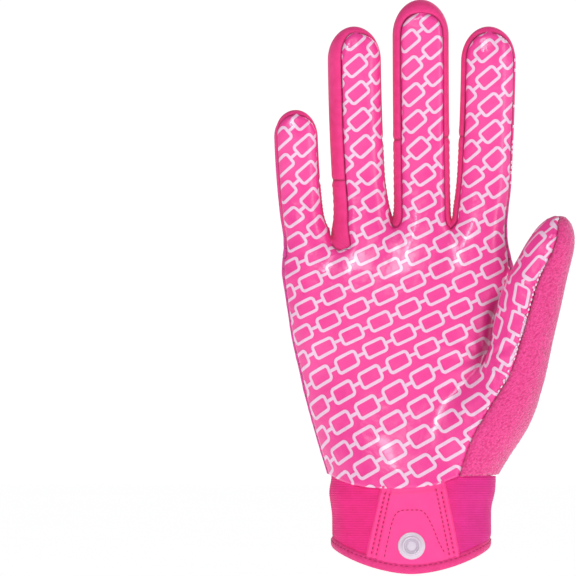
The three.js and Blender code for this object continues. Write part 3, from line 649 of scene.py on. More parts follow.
def joinGrids(grids):  # welds grids by place; each face keeps its own grid's pattern coordinates
    points = np.vstack([g["points"].reshape(-1, 3) for g in grids])
    keys = np.round(points * 200).astype(np.int64)
    _, firstUse, index = np.unique(keys, axis=0, return_index=True, return_inverse=True)
    index = index.reshape(-1)
    vertices = points[firstUse]
    faces, corners, start = [], [], 0
    for g in grids:
        r, c = g["points"].shape[:2]
        ids = np.arange(r * c).reshape(r, c)
        quads = np.stack([ids[:-1, :-1], ids[:-1, 1:], ids[1:, 1:], ids[1:, :-1]], axis=-1).reshape(-1, 4)
        if g["flip"]:
            quads = quads[:, ::-1]
        welded = index[start + quads]
        uv = g["uv"].reshape(-1, 2)
        for ids4, quad in zip(welded.tolist(), quads.tolist()):
            kept = [(v, k) for n, (v, k) in enumerate(zip(ids4, quad)) if v not in ids4[:n]]
            if len(kept) > 2:
                faces.append([v for v, _ in kept])
                corners.append(uv[[k for _, k in kept]])
        start += r * c
    return vertices, faces, np.vstack(corners)


def writeMesh(name, vertices, faces, uv):
    mesh = bpy.data.meshes.new(name)
    mesh.from_pydata((vertices * metres).tolist(), [], faces)
    mesh.uv_layers.new(name="cloth").data.foreach_set("uv", uv.astype(np.float32).ravel())
    mesh.validate()
    mesh.polygons.foreach_set("use_smooth", [True] * len(mesh.polygons))
    mesh.update()
    thing = bpy.data.objects.new(name, mesh)
    bpy.context.scene.collection.objects.link(thing)
    return thing


def gridMesh(name, *grids):
    return writeMesh(name, *joinGrids(grids))


def nearest(points, border):  # distance from each point to the nearest border point
    points = points.astype(np.float32)
    border = border.astype(np.float32)
    out = np.empty(len(points), np.float32)
    for k in range(0, len(points), 8000):
        part = points[k:k + 8000]
        square = (part ** 2).sum(1)[:, None] + (border ** 2).sum(1)[None] - 2 * part @ border.T
        out[k:k + 8000] = np.sqrt(np.maximum(square.min(1), 0))
    return out


def creaseMarks(vertices):  # how far in the fold between palm and thumb, for its dent and for painted shade, and how far on its rim, for a painted highlight
    line = creaseLine[(creaseLine[:, 2] > 82) & (creaseLine[:, 2] < 116)]
    away = nearest(vertices, finer(line))
    side = np.interp(vertices[:, 2], line[:, 2], line[:, 0]) - vertices[:, 0]
    ends = smooth(80, 91, vertices[:, 2]) * smooth(119, 108, vertices[:, 2])
    hollow = np.exp(-((away / 3.8) ** 2)) * smooth(-1.0, 0.6, side) * ends
    rim = np.exp(-(((away - 1.1) / 0.55) ** 2)) * smooth(-0.2, -0.8, side) * ends
    return hollow, rim


seam = {"sink": 0.8, "sinkWidth": 0.8, "puff": 0.25, "puffAt": 2.3, "puffWidth": 1.4}


def finer(line):
    return np.vstack([line, (line[1:] + line[:-1]) / 2])


def seamRelief(distance):  # dips at a seam and swells beside it
    dip = seam["sink"] * np.exp(-((distance / seam["sinkWidth"]) ** 2))
    swell = seam["puff"] * np.exp(-(((distance - seam["puffAt"]) / seam["puffWidth"]) ** 2))
    return swell - dip


def solidSheet(thing, wall):  # gives a cloth sheet its wall, inwards
    wallMod = thing.modifiers.new("wall", "SOLIDIFY")
    wallMod.thickness = wall * metres
    wallMod.offset = -1
    return thing


def panel(name, grids, borders, relief=None, wall=1.2, depth=1.0):
    vertices, faces, uv = joinGrids(grids)
    normals = outward(vertices)
    distance = nearest(vertices, np.vstack([finer(line) for line in borders]))
    height = seamRelief(distance) * depth
    if relief is not None:
        height = height + relief(vertices, distance)
    thing = writeMesh(name, vertices + normals * height[:, None], faces, uv)
    marks = {"inset": distance, "facing": normals[:, 1]}
    # painted shade in the fold and a painted highlight on the thumb's rim, kept as attributes of the print
    if name == "palm_print":
        marks["fold"], marks["rim"] = creaseMarks(vertices)
    for label, values in marks.items():
        layer = thing.data.attributes.new(label, "FLOAT", "POINT")
        layer.data.foreach_set("value", np.asarray(values, np.float32))
    return solidSheet(thing, wall)


# Pattern coordinates, in millimetres: across is the level arc from a reference column, up is the height
def levelArc(points, column):
    steps = np.hypot(np.diff(points[..., 0], axis=1), np.diff(points[..., 1], axis=1))
    arc = np.concatenate([np.zeros((len(points), 1)), np.cumsum(steps, axis=1)], axis=1)
    return arc - arc[:, column:column + 1]


def clothGrid(points, across, flip):
    return makeGrid(points, np.stack([across, points[..., 2]], axis=-1), flip)


def stripGrid(points):  # a strip's pattern lies on its depth and height
    return makeGrid(points, points[..., 1:], True)


# The print's turns: degrees, and the place on the cloth that the thumb's side turns about
printTurns = {"finger": 15.0, "swirl": 36.0, "pivot": np.array([31.0, 85.0])}


def spun(uv, about, degrees):
    turn = np.radians(degrees)
    x, y = np.moveaxis(uv - about, -1, 0)
    c, s = np.cos(turn), np.sin(turn)
    return about + np.stack([c * x - s * y, s * x + c * y], axis=-1)


def handGrids(face):
    blocks = [palmBlocks[index, face] for index in range(4)]
    widths = np.cumsum([0] + [block.shape[1] - 1 for block in blocks])
    wholeRows = np.concatenate([blocks[0]] + [block[:, 1:] for block in blocks[1:]], axis=1)
    middle = int(widths[2])
    across = levelArc(wholeRows, middle) + wholeRows[:, middle:middle + 1, 0]
    grids = []
    for index in range(4):
        part = across[:, widths[index]:widths[index + 1] + 1]
        grids.append(clothGrid(blocks[index], part, face == 1))
        finger = fingerBlocks[index, face]
        centre = finger.shape[1] // 2
        arc = levelArc(finger, centre)
        centreLine = finger[:, centre, 0]
        offset = part[-1, centre] - centreLine[0]
        fade = 1 - smooth(0, 0.5, a)
        grids.append(clothGrid(finger, arc + (centreLine + offset * fade)[:, None], face == 1))
        if face == 0:  # the print lies steeper along the fingers
            root = grids[-1]["uv"][0, centre]
            grids[-1]["uv"] = spun(grids[-1]["uv"], root, -printTurns["finger"] * smooth(0, 0.4, a)[:, None])
    return grids, across


def swirl(uv, past):  # turns the print about the crease's foot, more the further round it lies
    x, y = np.moveaxis(uv - printTurns["pivot"], -1, 0)
    angle = np.degrees(np.arctan2(y, x)) % 360
    around = np.where(angle < past, angle + 360, angle)
    share = np.clip((around - 175) / 225, 0, 1)
    return spun(uv, printTurns["pivot"], -printTurns["swirl"] * mix(share, smooth(0, 1, share), 0.35))


frontGrids, frontAcross = handGrids(0)
joined = frontAcross[:, -1]
held = joined[crotchRow] + thumbLeft[crotchRow + 1:, 0] - crotch[0]
fromPalm = np.concatenate([joined[:crotchRow + 1], held])[:, None] + levelArc(thumbBlock, 0)
thumbGrid = clothGrid(thumbBlock, fromPalm, False)
for g in frontGrids:
    g["uv"] = swirl(g["uv"], 0)
thumbGrid["uv"] = swirl(thumbGrid["uv"], 180)


folds = {"wave": 0.22, "fan": 0.45, "rays": 9.0, "fade": 16.0, "centreX": 30.0, "centreZ": 88.0,
         "crease": 1.4}


def softFolds(vertices, distance):  # slight hollows of the palm and creases that run into the thumb's fold
    x, z = vertices[:, 0], vertices[:, 2]
    wave = folds["wave"] * np.sin(0.16 * x + 0.09 * z) * np.sin(0.07 * z - 0.12 * x + 1.0)
    reach = np.hypot(x - folds["centreX"], z - folds["centreZ"])
    ray = np.sin(np.arctan2(z - folds["centreZ"], x - folds["centreX"]) * folds["rays"] + 0.08 * reach)
    fanned = folds["fan"] * ray * np.exp(-reach / folds["fade"]) * smooth(1.0, 6.0, reach)
    return wave + fanned - folds["crease"] * creaseMarks(vertices)[0] * smooth(0.3, 1.5, distance)


def puckers(line, pitch, size):  # the print is drawn up by the stitches of one seam
    def relief(vertices, distance):
        away = nearest(vertices, finer(line))
        z = vertices[:, 2]
        wave = size * np.sin(2 * np.pi * z / pitch + 0.7 * np.sin(z * 0.9))
        return wave * np.exp(-((away - 1.2) / 1.1) ** 2)
    return relief


def together(*reliefs):
    return lambda vertices, distance: sum(relief(vertices, distance) for relief in reliefs)


palmSeams = [palmBlocks[0, 0][:, 0], terryLine, innerLine, aboveCrotch, thumbLeft[crotchRow:]]
for index in range(4):
    palmSeams += list(fingerBorders[index, 0])
palmPanel = panel("palm_print", frontGrids + [thumbGrid], palmSeams,
                  together(softFolds, puckers(terryLine, 2.6, 0.34)))

cell = {"width": 7.2, "height": 4.3, "round": 2.6}


def scales(vertices, distance):  # staggered rows of rounded cells, highest where |u|^p + |v|^p is least
    x, z = vertices[:, 0] / cell["width"], vertices[:, 2] / cell["height"]
    row = np.floor(z)
    u = (x + 0.5 * (row % 2)) % 1 - 0.5
    v = z % 1 - 0.5
    hollow = np.clip(np.abs(u * 2) ** cell["round"] + np.abs(v * 2) ** cell["round"], 0, 1.3)
    return (0.18 - 0.3 * hollow) * smooth(1.5, 4.0, distance)


backSeams = [palmBlocks[0, 1][:, 0], backLow, aboveCrotch]
for index in range(4):
    backSeams += list(fingerBorders[index, 1])
backPanel = panel("back_knit", handGrids(1)[0], backSeams, scales)


def pile(vertices, distance):  # towelling: uneven tufts, drawn into slanting rows
    x, y, z = vertices.T
    slant = np.sin((z * 0.9 + x * 0.5 + y * 0.4) * 3.3) * 0.07
    tufts = rng.normal(0, 0.055, len(vertices))
    return slant + tufts * smooth(0.4, 1.6, distance) + 0.35


towelGrid = clothGrid(towelBlock, levelArc(towelBlock, 0), False)
towelPanel = panel("thumb_towelling", [towelGrid], [terryLine, towelBack, innerLine], pile, 1.8)


def ribs(vertices, distance):  # the gussets are ribbed across
    return 0.12 * np.sin(2 * np.pi * vertices[:, 2] / 1.6) * smooth(0.5, 2, distance)


gussets = []
for index, block in enumerate(gussetPieces):
    edges = [block[:, 0], block[:, -1], block[0], block[-1]]
    name = "web_gusset_" + fingers[index]["name"] + "_" + fingers[index + 1]["name"]
    gussets.append(panel(name, [stripGrid(block)], edges, ribs, 1.0, 0.5))

strips = []
for finger in fingers:
    blocks, edges = [], []
    for block, lowRow in stripPieces[finger["name"]]:
        blocks.append(stripGrid(block))
        edges += [block[:, 0], block[:, -1], lowRow]
    strips.append(panel("finger_strip_" + finger["name"], blocks, edges, None, 1.0, 0.5))

print("wrist")
wrist = {"hemDip": 7.6, "dipPower": 1.5, "hemBackRise": 6.0, "hemHeight": 4.5, "hemThick": 3.0,
         "patchTop": 26.0, "patchBottom": 39.0, "ribPitch": 0.95, "ribDepth": 0.04,
         "around": 178.0, "lap": 1.2, "wall": 1.5,  # the pattern's length round it, and the palm's overlap
         "gather": 0.15, "gathers": 11, "gatherFrom": 8.0, "gatherReach": 30.0,  # slight waves round it
         "topIn": 1.1, "topReach": 9.0, "hemIn": 0.5, "hemReach": 3.0}  # drawn in below the palm and at the hem
# Where it widens under the palm: the angles of each swell's start, full part and end, then a lower and an
# upper part, each from a height, to a height, by an amount
flares = [(28, 72, 96, 113, (9, 17, 1.1), (25, 40, 2.9)), (332, 288, 264, 247, (9, 17, 0.3), (22, 36, 1.5))]


def wristPoint(angle, out, z):  # a rounded oval grown by out; angles run from the palm side to the thumb side
    turn = np.radians(angle)
    x = (hand["wristWidth"] / 2 + out) * signedPower(np.sin(turn), 2 / hand["power"])
    y = -(hand["wristDepth"] / 2 + out) * signedPower(np.cos(turn), 2 / hand["power"])
    return np.stack(np.broadcast_arrays(x, y, z), axis=-1)


def hemZ(angle):  # the opening rises at both sides, by |sin|^p, and evenly towards the back
    turn = np.radians(angle)
    sides = wrist["hemDip"] * np.abs(np.sin(turn)) ** wrist["dipPower"]
    return sides + wrist["hemBackRise"] * (1 - np.cos(turn)) / 2


def flare(angle, z):  # most at the thumb side, least where the strap lies
    out = 0
    for start, whole, last, end, *parts in flares:
        share = smooth(start, whole, angle) * smooth(end, last, angle)
        out = out + share * sum(amount * smooth(low, high, z) for low, high, amount in parts)
    return out


def evenAngles(count):  # angles whose points stand evenly round the wrist
    fine = np.linspace(0, 360, 1441)
    ring = wristPoint(fine, 0, 0 * fine)
    arc = arcLength(ring)
    return np.interp(np.linspace(0, arc[-1], count), arc, fine)


def cuffPatchHalf(z):
    return mix(wrist["patchBottom"], wrist["patchTop"], np.clip(z / 42.0, 0, 1)) / 2


angles = evenAngles(281)
t = np.linspace(0, 1, 150)[:, None]
angleGrid = np.broadcast_to(angles[None], (len(t), len(angles)))
lowZ = hemZ(angleGrid) + wrist["hemHeight"] * 0.6
highZ = lowerEdge(wristPoint(angleGrid, 0, 0 * angleGrid)[..., 0]) + wrist["lap"]
z = mix(lowZ, highZ, t)
rib = wrist["ribDepth"] * np.sin(2 * np.pi * z / wrist["ribPitch"] + 0.5 * np.sin(angleGrid * 0.11))
gather = wrist["gather"] * np.sin(np.radians(angleGrid) * wrist["gathers"])
gather *= np.sin(np.pi * np.clip((z - wrist["gatherFrom"]) / wrist["gatherReach"], 0, 1))
edgeIn = wrist["topIn"] * smooth(wrist["topReach"], 0.0, highZ - z)
edgeIn += wrist["hemIn"] * smooth(wrist["hemReach"], 0.0, z - lowZ)
points = wristPoint(angleGrid, rib + gather + flare(angleGrid, z) - edgeIn, z)
points[:, -1] = points[:, 0]
roundArc = np.broadcast_to(np.linspace(0, wrist["around"], len(angles)), z.shape)
cuff = solidSheet(gridMesh("cuff_ribbed", clothGrid(points, roundArc, False)), wrist["wall"])

# The hem's tape: powers that square its section, how far in it sits, its drawn-in stitches and their line
hemRoll = {"acrossPower": 0.75, "upPower": 0.85, "in": 0.55, "pull": 0.06, "pulls": 70, "stitchUp": 1.0,
           "stitchWidth": 0.35, "stitchDepth": 0.28}


def hemSection(angle, turn):  # a rolled tape: a rounded section whose outer side is drawn in at the stitches
    low = hemZ(angle)
    across = signedPower(np.cos(turn), hemRoll["acrossPower"]) * wrist["hemThick"] / 2
    up = signedPower(np.sin(turn), hemRoll["upPower"]) * wrist["hemHeight"] / 2
    pull = hemRoll["pull"] * np.sin(np.radians(angle) * hemRoll["pulls"]) * (np.cos(turn) > 0.2)
    stitchLine = np.exp(-(((up - hemRoll["stitchUp"]) / hemRoll["stitchWidth"]) ** 2)) * (np.cos(turn) > 0)
    out = across - hemRoll["in"] + pull - hemRoll["stitchDepth"] * stitchLine
    return wristPoint(angle, out, low + wrist["hemHeight"] / 2 + up)


angleGrid, turnGrid = np.meshgrid(evenAngles(361), np.linspace(0, 2 * np.pi, 33), indexing="ij")
points = hemSection(angleGrid, turnGrid)
points[:, -1] = points[:, 0]
points[-1] = points[0]
hem = gridMesh("hem_tape", makeGrid(points, np.stack([angleGrid * 0.5, turnGrid * 2.0], axis=-1), True))


def wristFace(x, out):  # the front of the wrist's oval at a place across it
    share = np.clip(np.abs(x) / (hand["wristWidth"] / 2 + out), 0, 0.999)
    return -(hand["wristDepth"] / 2 + out) * (1 - share ** hand["power"]) ** (1 / hand["power"])


# The patch: its lower edge and how its corners rise, its place across, its overlap, then the profile of its
# face by the distance to its side: a rolled edge, two stitch rows, and a drop under the palm
leatherForm = {"low": 4.0, "cornerRise": 12.0, "cornerShare": 0.6, "cornerPower": 2.4, "shift": 0.5,
               "topShift": 0.6, "lap": 1.0, "proud": 0.55, "roll": 0.5, "rollAt": 0.9, "rollWidth": 0.7,
               "drop": 0.8, "dropWidth": 0.45, "rows": (2.3, 4.2), "rowDepth": 0.26, "rowWidth": 0.5,
               "under": 0.8, "underFrom": 3.0, "underTo": 0.3, "wall": 1.2}


def patchPoint(s, t):  # s across from -1 to 1, t from the hem to the palm's edge
    corner = np.abs(s * leatherForm["cornerShare"]) ** leatherForm["cornerPower"]
    zLow = leatherForm["cornerRise"] * corner + leatherForm["low"]
    x = s * mix(wrist["patchBottom"], wrist["patchTop"], t) / 2
    x = x + mix(leatherForm["shift"], leatherForm["topShift"], t)
    return x, mix(zLow, lowerEdge(x) + leatherForm["lap"], t)


def patchHeight(s, x, z):  # proud at its sewn edges, slightly hollow along the stitch rows
    edge = (1 - np.abs(s)) * cuffPatchHalf(z)
    rolled = leatherForm["roll"] * np.exp(-((edge - leatherForm["rollAt"]) / leatherForm["rollWidth"]) ** 2)
    drop = leatherForm["drop"] * np.exp(-(edge / leatherForm["dropWidth"]) ** 2)
    hollow = sum(np.exp(-((edge - inset) / leatherForm["rowWidth"]) ** 2) for inset in leatherForm["rows"])
    under = smooth(leatherForm["underFrom"], leatherForm["underTo"], lowerEdge(x) - z)
    return (leatherForm["proud"] + rolled - drop - leatherForm["rowDepth"] * hollow
            - leatherForm["under"] * under)


s, t = np.meshgrid(np.linspace(-1, 1, 150), np.linspace(0, 1, 120), indexing="xy")
x, z = patchPoint(s, t)
out = patchHeight(s, x, z)
points = np.stack([x, wristFace(x, out), z], axis=-1)
patch = solidSheet(gridMesh("cuff_leather", clothGrid(points, x, False)), leatherForm["wall"])

# The snap is turned about its axis: radius and height of its profile
snapProfile = np.array([
    [0.0, 1.2], [1.2, 1.18], [1.75, 1.08], [2.1, 0.75], [2.3, 0.35], [2.75, 0.28], [2.95, 0.6],
    [3.1, 1.35], [3.35, 1.55], [3.7, 1.5], [3.9, 1.2], [4.1, 0.85], [4.5, 0.72], [5.1, 0.68],
    [5.45, 0.55], [5.58, 0.25], [5.55, 0.0], [5.2, -0.2],
])
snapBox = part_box("snap")
snapCentre = (snapBox[0] + snapBox[1]) / 2 / metres


def turned(profile, count):
    t = np.linspace(0, 1, 90)
    knots = np.linspace(0, 1, len(profile))
    bell = np.array([1, 2, 3, 2, 1]) / 9
    radius = np.interp(t, knots, profile[:, 0])
    height = np.interp(t, knots, profile[:, 1])
    radius[2:-2] = np.convolve(radius, bell, mode="valid")
    height[2:-2] = np.convolve(height, bell, mode="valid")
    turn = np.linspace(0, 2 * np.pi, count)
    return np.stack([radius[:, None] * np.cos(turn), np.broadcast_to(-height[:, None], (90, count)),
                     radius[:, None] * np.sin(turn)], axis=-1)


points = turned(snapProfile, 97)
points[:, -1] = points[:, 0]
points += np.array([snapCentre.x, snapBox[1].y / metres + 0.25, snapCentre.z])
snap = solidSheet(gridMesh("snap_cap", makeGrid(points, points[..., [0, 2]], True)), 0.8)

# The strap lies on the back of the cuff: length runs from the thumb side to the rounded end, across upwards.
# endReach is the rounded end's length in half heights, bend its share of the outline, and stitchAt the place
# of the stitches across the bound edge
strap = {"from": 114.0, "to": 246.0, "height": 33.0, "low": 4.0, "edge": 4.2, "clear": 0.7, "wall": 1.6,
         "rise": 13.0, "lift": 8.0, "endLift": 3.0, "power": 2.5,
         "endReach": 0.95, "bend": 0.42, "stitchAt": 0.72, "crown": 1.5, "edgeIn": 1.3}
strapArc = (strap["to"] - strap["from"]) / 360 * np.pi * (hand["wristWidth"] + hand["wristDepth"]) * 0.5


def strapPoint(length, across, out):  # laid on the hand's form, then lifted along its normal
    share = length / strapArc
    angle = mix(strap["from"], strap["to"], share)
    up = across / strap["height"] + 0.5
    rise = strap["rise"] * smooth(0.42, 0.0, share) * np.maximum(up, 0) ** 1.5
    lift = (strap["lift"] * smooth(0.35, 0.0, share) + strap["endLift"] * smooth(0.7, 0.95, share)) * (1 - up)
    z = strap["low"] + strap["height"] / 2 + across + rise + lift
    base = ontoForm(wristPoint(angle, 0.0, z), 4)
    base[..., 2] = z
    return base + outward(base) * (strap["clear"] + out)[..., None]


def strapHalf(length, margin):  # full height, then a rounded end
    half = strap["height"] / 2 - margin
    reach = half * strap["endReach"]
    into = np.clip((length - (strapArc - margin - reach)) / reach, 0, 1)
    return half * (1 - into ** strap["power"]) ** (1 / strap["power"])


def strapPlate(name, start, margin, height, columns, count, dome, wall):
    u = 1 - (1 - np.linspace(0, 1, columns)) ** 1.8
    length = mix(start, strapArc - margin - 0.02, u)[None, :]
    v = np.linspace(-1, 1, count)[:, None]
    half = strapHalf(length, margin)
    edge = np.minimum((1 - np.abs(v)) * half, strapArc - margin - length)
    edge = np.minimum(edge, length - start + 0.4)
    out = height - dome * np.exp(-(edge / 0.6) ** 2)
    lengths, acrosses = np.broadcast_arrays(length, v * half)
    plate = makeGrid(strapPoint(lengths, acrosses, out), np.stack([lengths, acrosses], axis=-1))
    return solidSheet(gridMesh(name, plate), wall)


strapPanel = strapPlate("strap_panel", 0.0, strap["edge"] - 1.0, strap["wall"] - 0.5, 170, 70, 0.3, 1.3)
labelPanel = strapPlate("strap_plate", strapArc * 0.2, strap["edge"] + 1.0, strap["wall"] + 0.5, 150, 60,
                        0.7, 0.8)


def bindingOutline(turn, margin):  # along the lower edge, round the end and back along the upper edge
    half = strap["height"] / 2 - margin
    reach = half * strap["endReach"]
    straight = strapArc - margin - reach
    share = np.abs(turn)
    bend = np.clip(share / strap["bend"], 0, 1) * np.pi / 2
    power = 2 / strap["power"]
    onSides = straight * (1 - share) / (1 - strap["bend"])
    length = np.where(share > strap["bend"], onSides, straight + reach * np.cos(bend) ** power)
    across = np.sign(turn) * np.where(share > strap["bend"], half, half * np.sin(bend) ** power)
    return length, across


turn, v = np.meshgrid(np.linspace(-1, 1, 420), np.linspace(0, 1, 22), indexing="xy")
length, across = bindingOutline(turn, v * strap["edge"])
crown = signedPower(np.sin(np.pi * v), 0.6)
groove = 0.4 * np.exp(-(((v - strap["stitchAt"]) / 0.07) ** 2))
ridges = 0.07 * np.sin(turn * 420)
out = strap["wall"] - strap["edgeIn"] + strap["crown"] * crown - groove + ridges * crown
tapeGrid = makeGrid(strapPoint(length, across, out), np.stack([turn * 90, v * 4], axis=-1))
binding = solidSheet(gridMesh("strap_tape", tapeGrid), 1.6)


def tube(path, radius, sides):  # a round section carried along a path
    way = np.gradient(path, axis=0)
    way /= np.linalg.norm(way, axis=1, keepdims=True)
    side = np.cross(way, np.array([0.0, 1.0, 0.2]))
    side /= np.linalg.norm(side, axis=1, keepdims=True)
    up = np.cross(way, side)
    turn = np.linspace(0, 2 * np.pi, sides + 1)[None, :, None]
    fromEnd = np.minimum(np.arange(len(path)), np.arange(len(path))[::-1])
    ends = np.sqrt(np.clip(fromEnd / 3, 0, 1))
    r = (radius * ends)[:, None, None]
    ring = path[:, None] + r * (np.cos(turn) * side[:, None] + np.sin(turn) * up[:, None])
    ring[:, -1] = ring[:, 0]
    return ring


slitLeft = backLow[backLow[:, 2] < slit["top"]]
slitRight = towelLow[towelLow[:, 2] < slit["top"]][::-1]
slitPath = along(np.vstack([slitLeft[::5], slitRight[::5]]), 120)
slitPath = slitPath + outward(slitPath) * slit["tapeLift"]
uv = np.stack(np.meshgrid(np.linspace(0, 70, 120), np.linspace(0, 8, 17), indexing="ij"), axis=-1)
slitTape = gridMesh("slit_tape", makeGrid(tube(slitPath, slit["tapeRadius"], 16), uv))

print("stitches")


def dashes(path, pitch, share, radius, lift, normalOf):  # short threads along a path, half sunk in the cloth
    starts = (np.arange(int(arcLength(path)[-1] / pitch)) + 0.2) * pitch
    t = np.linspace(0, 1, 6)
    centre = atLengths(path, starts[:, None] + t[None] * pitch * share)
    normal = normalOf(centre)
    centre = centre + normal * (lift + radius * 0.9 * np.sin(np.pi * t)[None, :, None])
    way = np.gradient(centre, axis=1)
    way /= np.linalg.norm(way, axis=-1, keepdims=True)
    side = np.cross(way, normal)
    side /= np.linalg.norm(side, axis=-1, keepdims=True)
    turn = np.linspace(0, 2 * np.pi, 7)
    ends = np.array([0, 0.85, 1, 1, 0.85, 0])[None, :, None, None]
    ring = centre[:, :, None] + radius * ends * (np.cos(turn)[None, None, :, None] * side[:, :, None]
                                                 + np.sin(turn)[None, None, :, None] * normal[:, :, None])
    ring[:, :, -1] = ring[:, :, 0]
    return [makeGrid(one, np.zeros(one.shape[:2] + (2,)), True) for one in ring]


def wristNormal(points):
    normal = np.zeros_like(points)
    normal[..., 0] = points[..., 0] / (hand["wristWidth"] / 2) ** 2
    normal[..., 1] = points[..., 1] / (hand["wristDepth"] / 2) ** 2
    return normal / np.linalg.norm(normal, axis=-1, keepdims=True)


def patchRow(side, inset, low, high, count=80):
    t = np.linspace(low, high, count)
    s = side * (1 - inset / (mix(wrist["patchBottom"], wrist["patchTop"], t) / 2))
    x, z = patchPoint(s, t)
    return np.stack([x, wristFace(x, 0.4), z], axis=-1)


def scattered(grids, share):  # keeps a random share of short threads
    return [one for one in grids if rng.random() < share]


def glintDashes(line, low, high, shift):  # painted highlights: pale glossy dashes along the print's drawn-up edge, where it would catch the light
    part = line[(line[:, 2] > low) & (line[:, 2] < high)]
    part = ontoForm(part + np.array([shift, 0, 0]), 4)
    return dashes(part, 2.1, 0.75, 0.4, 0.0, outward)


# painted highlights beside the towelling's seam and along the index finger's side
edgeGlints = scattered(glintDashes(terryLine, 64, 126, -0.7), 0.6)
edgeGlints += scattered(glintDashes(terryLine, 78, 120, -1.3), 0.35)
edgeGlints += scattered(glintDashes(fingerBorders[3, 0][1], 150, 216, -0.8), 0.35)
seamGlints = gridMesh("seam_glints", *edgeGlints)

patchThreads = []
for side in (-1, 1):
    for inset in leatherForm["rows"]:
        patchThreads += dashes(patchRow(side, inset, 0.04, 0.93), 1.9, 0.72, 0.2, 0.05, wristNormal)
arch = along([[-11.2, 0, 6.6], [-9.6, 0, 14], [-7.6, 0, 22], [-5.2, 0, 25.6], [0, 0, 26.2],
              [4.6, 0, 25.6], [7.8, 0, 21], [11.2, 0, 13], [14.0, 0, 7.8]], 120)
arch[:, 1] = wristFace(arch[:, 0], 0.5)
patchThreads += dashes(arch, 1.9, 0.72, 0.19, 0.05, wristNormal)
patchStitches = gridMesh("patch_stitches", *patchThreads)

turnLine = np.linspace(-0.97, 0.97, 400)
length, across = bindingOutline(turnLine, strap["edge"] * strap["stitchAt"])
tapeRow = strapPoint(length, across, np.full(len(length), strap["wall"] - 0.35))
strapStitches = gridMesh("strap_stitches", *dashes(tapeRow, 2.6, 0.66, 0.2, 0.12, outward))

angleLine = evenAngles(500)
hemRow = wristPoint(angleLine, 0.75, hemZ(angleLine) + wrist["hemHeight"] / 2 + 1.0)
hemStitches = gridMesh("hem_stitches", *dashes(hemRow, 2.2, 0.7, 0.16, 0.0, wristNormal))

print("materials")


class Value:  # a number of a shader; its sums, products and powers place Math nodes
    def __init__(self, n, socket):
        self.n = n
        self.socket = socket

    def __add__(self, other):
        return self.n.math("ADD", self, other)

    def __sub__(self, other):
        return self.n.math("SUBTRACT", self, other)

    def __rsub__(self, other):
        return self.n.math("SUBTRACT", other, self)

    def __mul__(self, other):
        return self.n.math("MULTIPLY", self, other)

    def __truediv__(self, other):
        return self.n.math("DIVIDE", self, other)

    def __mod__(self, other):
        return self.n.math("FLOORED_MODULO", self, other)

    def __pow__(self, other):
        return self.n.math("POWER", self, other)

    def __lt__(self, other):
        return self.n.math("LESS_THAN", self, other)

    def __gt__(self, other):
        return self.n.math("GREATER_THAN", self, other)

    def __abs__(self):
        return self.n.math("ABSOLUTE", self)


class Nodes:  # places and joins the nodes of one tree
    def __init__(self, tree):
        self.tree = tree

    def feed(self, socket, value):  # joins a value to an input, or sets it to a plain number or colour
        if isinstance(value, Value):
            self.tree.links.new(value.socket, socket)
        else:
            socket.default_value = value

    def add(self, kind, **inputs):
        node = self.tree.nodes.new(kind)
        for name, value in inputs.items():
            self.feed(node.inputs[name.replace("_", " ")], value)
        return node

    def read(self, kind, output, **inputs):
        return Value(self, self.add(kind, **inputs).outputs[output])

    def math(self, operation, *values, clamp=False):
        node = self.add("ShaderNodeMath")
        node.operation = operation
        node.use_clamp = clamp
        for socket, value in zip(node.inputs, values):
            self.feed(socket, value)
        return Value(self, node.outputs[0])

    def blend(self, factor, first, second, kind="MIX"):  # two colours mixed
        node = self.tree.nodes.new("ShaderNodeMix")
        node.data_type = "RGBA"
        node.blend_type = kind
        entries = [socket for socket in node.inputs if socket.enabled]
        for socket, value in zip(entries, (factor, first, second)):
            self.feed(socket, value)
        return Value(self, [socket for socket in node.outputs if socket.enabled][0])

    def ramp(self, value, low, high):  # 0 below low, 1 above high
        node = self.add("ShaderNodeMapRange", Value=value, From_Min=low, From_Max=high)
        node.interpolation_type = "SMOOTHSTEP"
        return Value(self, node.outputs[0])

    def split(self, vector):
        return [Value(self, socket) for socket in self.add("ShaderNodeSeparateXYZ", Vector=vector).outputs]

    def noise(self, vector, scale, detail):
        return self.read("ShaderNodeTexNoise", "Fac", Vector=vector, Scale=scale, Detail=detail)

    def cells(self, vector, scale):
        return self.read("ShaderNodeTexVoronoi", "Distance", Vector=vector, Scale=scale)

    def attribute(self, name):
        node = self.tree.nodes.new("ShaderNodeAttribute")
        node.attribute_name = name
        return Value(self, node.outputs["Fac"])

    def group(self, tree, **inputs):  # the outputs of a shared node group
        node = self.tree.nodes.new("ShaderNodeGroup")
        node.node_tree = tree
        for name, value in inputs.items():
            self.feed(node.inputs[name], value)
        return [Value(self, socket) for socket in node.outputs]


def newGroup(name, inputs, outputs):  # None stands for a vector, a number for a float and its first value
    tree = bpy.data.node_groups.new(name, "ShaderNodeTree")
    for label, value in inputs.items():
        kind = "NodeSocketVector" if value is None else "NodeSocketFloat"
        socket = tree.interface.new_socket(name=label, in_out="INPUT", socket_type=kind)
        if value is not None:
            socket.default_value = value
    for label in outputs:
        tree.interface.new_socket(name=label, in_out="OUTPUT", socket_type="NodeSocketFloat")
    n = Nodes(tree)
    entries = tree.nodes.new("NodeGroupInput").outputs
    return n, [Value(n, entries[label]) for label in inputs], tree.nodes.new("NodeGroupOutput").inputs


def colour(red, green, blue):  # from the 0 to 255 values that a screen shows
    def linear(value):
        value /= 255
        return value / 12.92 if value <= 0.04045 else ((value + 0.055) / 1.055) ** 2.4
    return (linear(red), linear(green), linear(blue), 1.0)


fullTurn = float(2 * np.pi)

# Seam shade: cloth looks darker where it dives into a seam, from the distance to that seam
n, (depth, width), shared = newGroup("seam_shade", {"Depth": 0.3, "Width": 0.9}, ["Shade"])
n.feed(shared["Shade"], 1.0 - (1.0 - n.ramp(n.attribute("inset"), 0.0, width)) * depth)
seamTree = n.tree

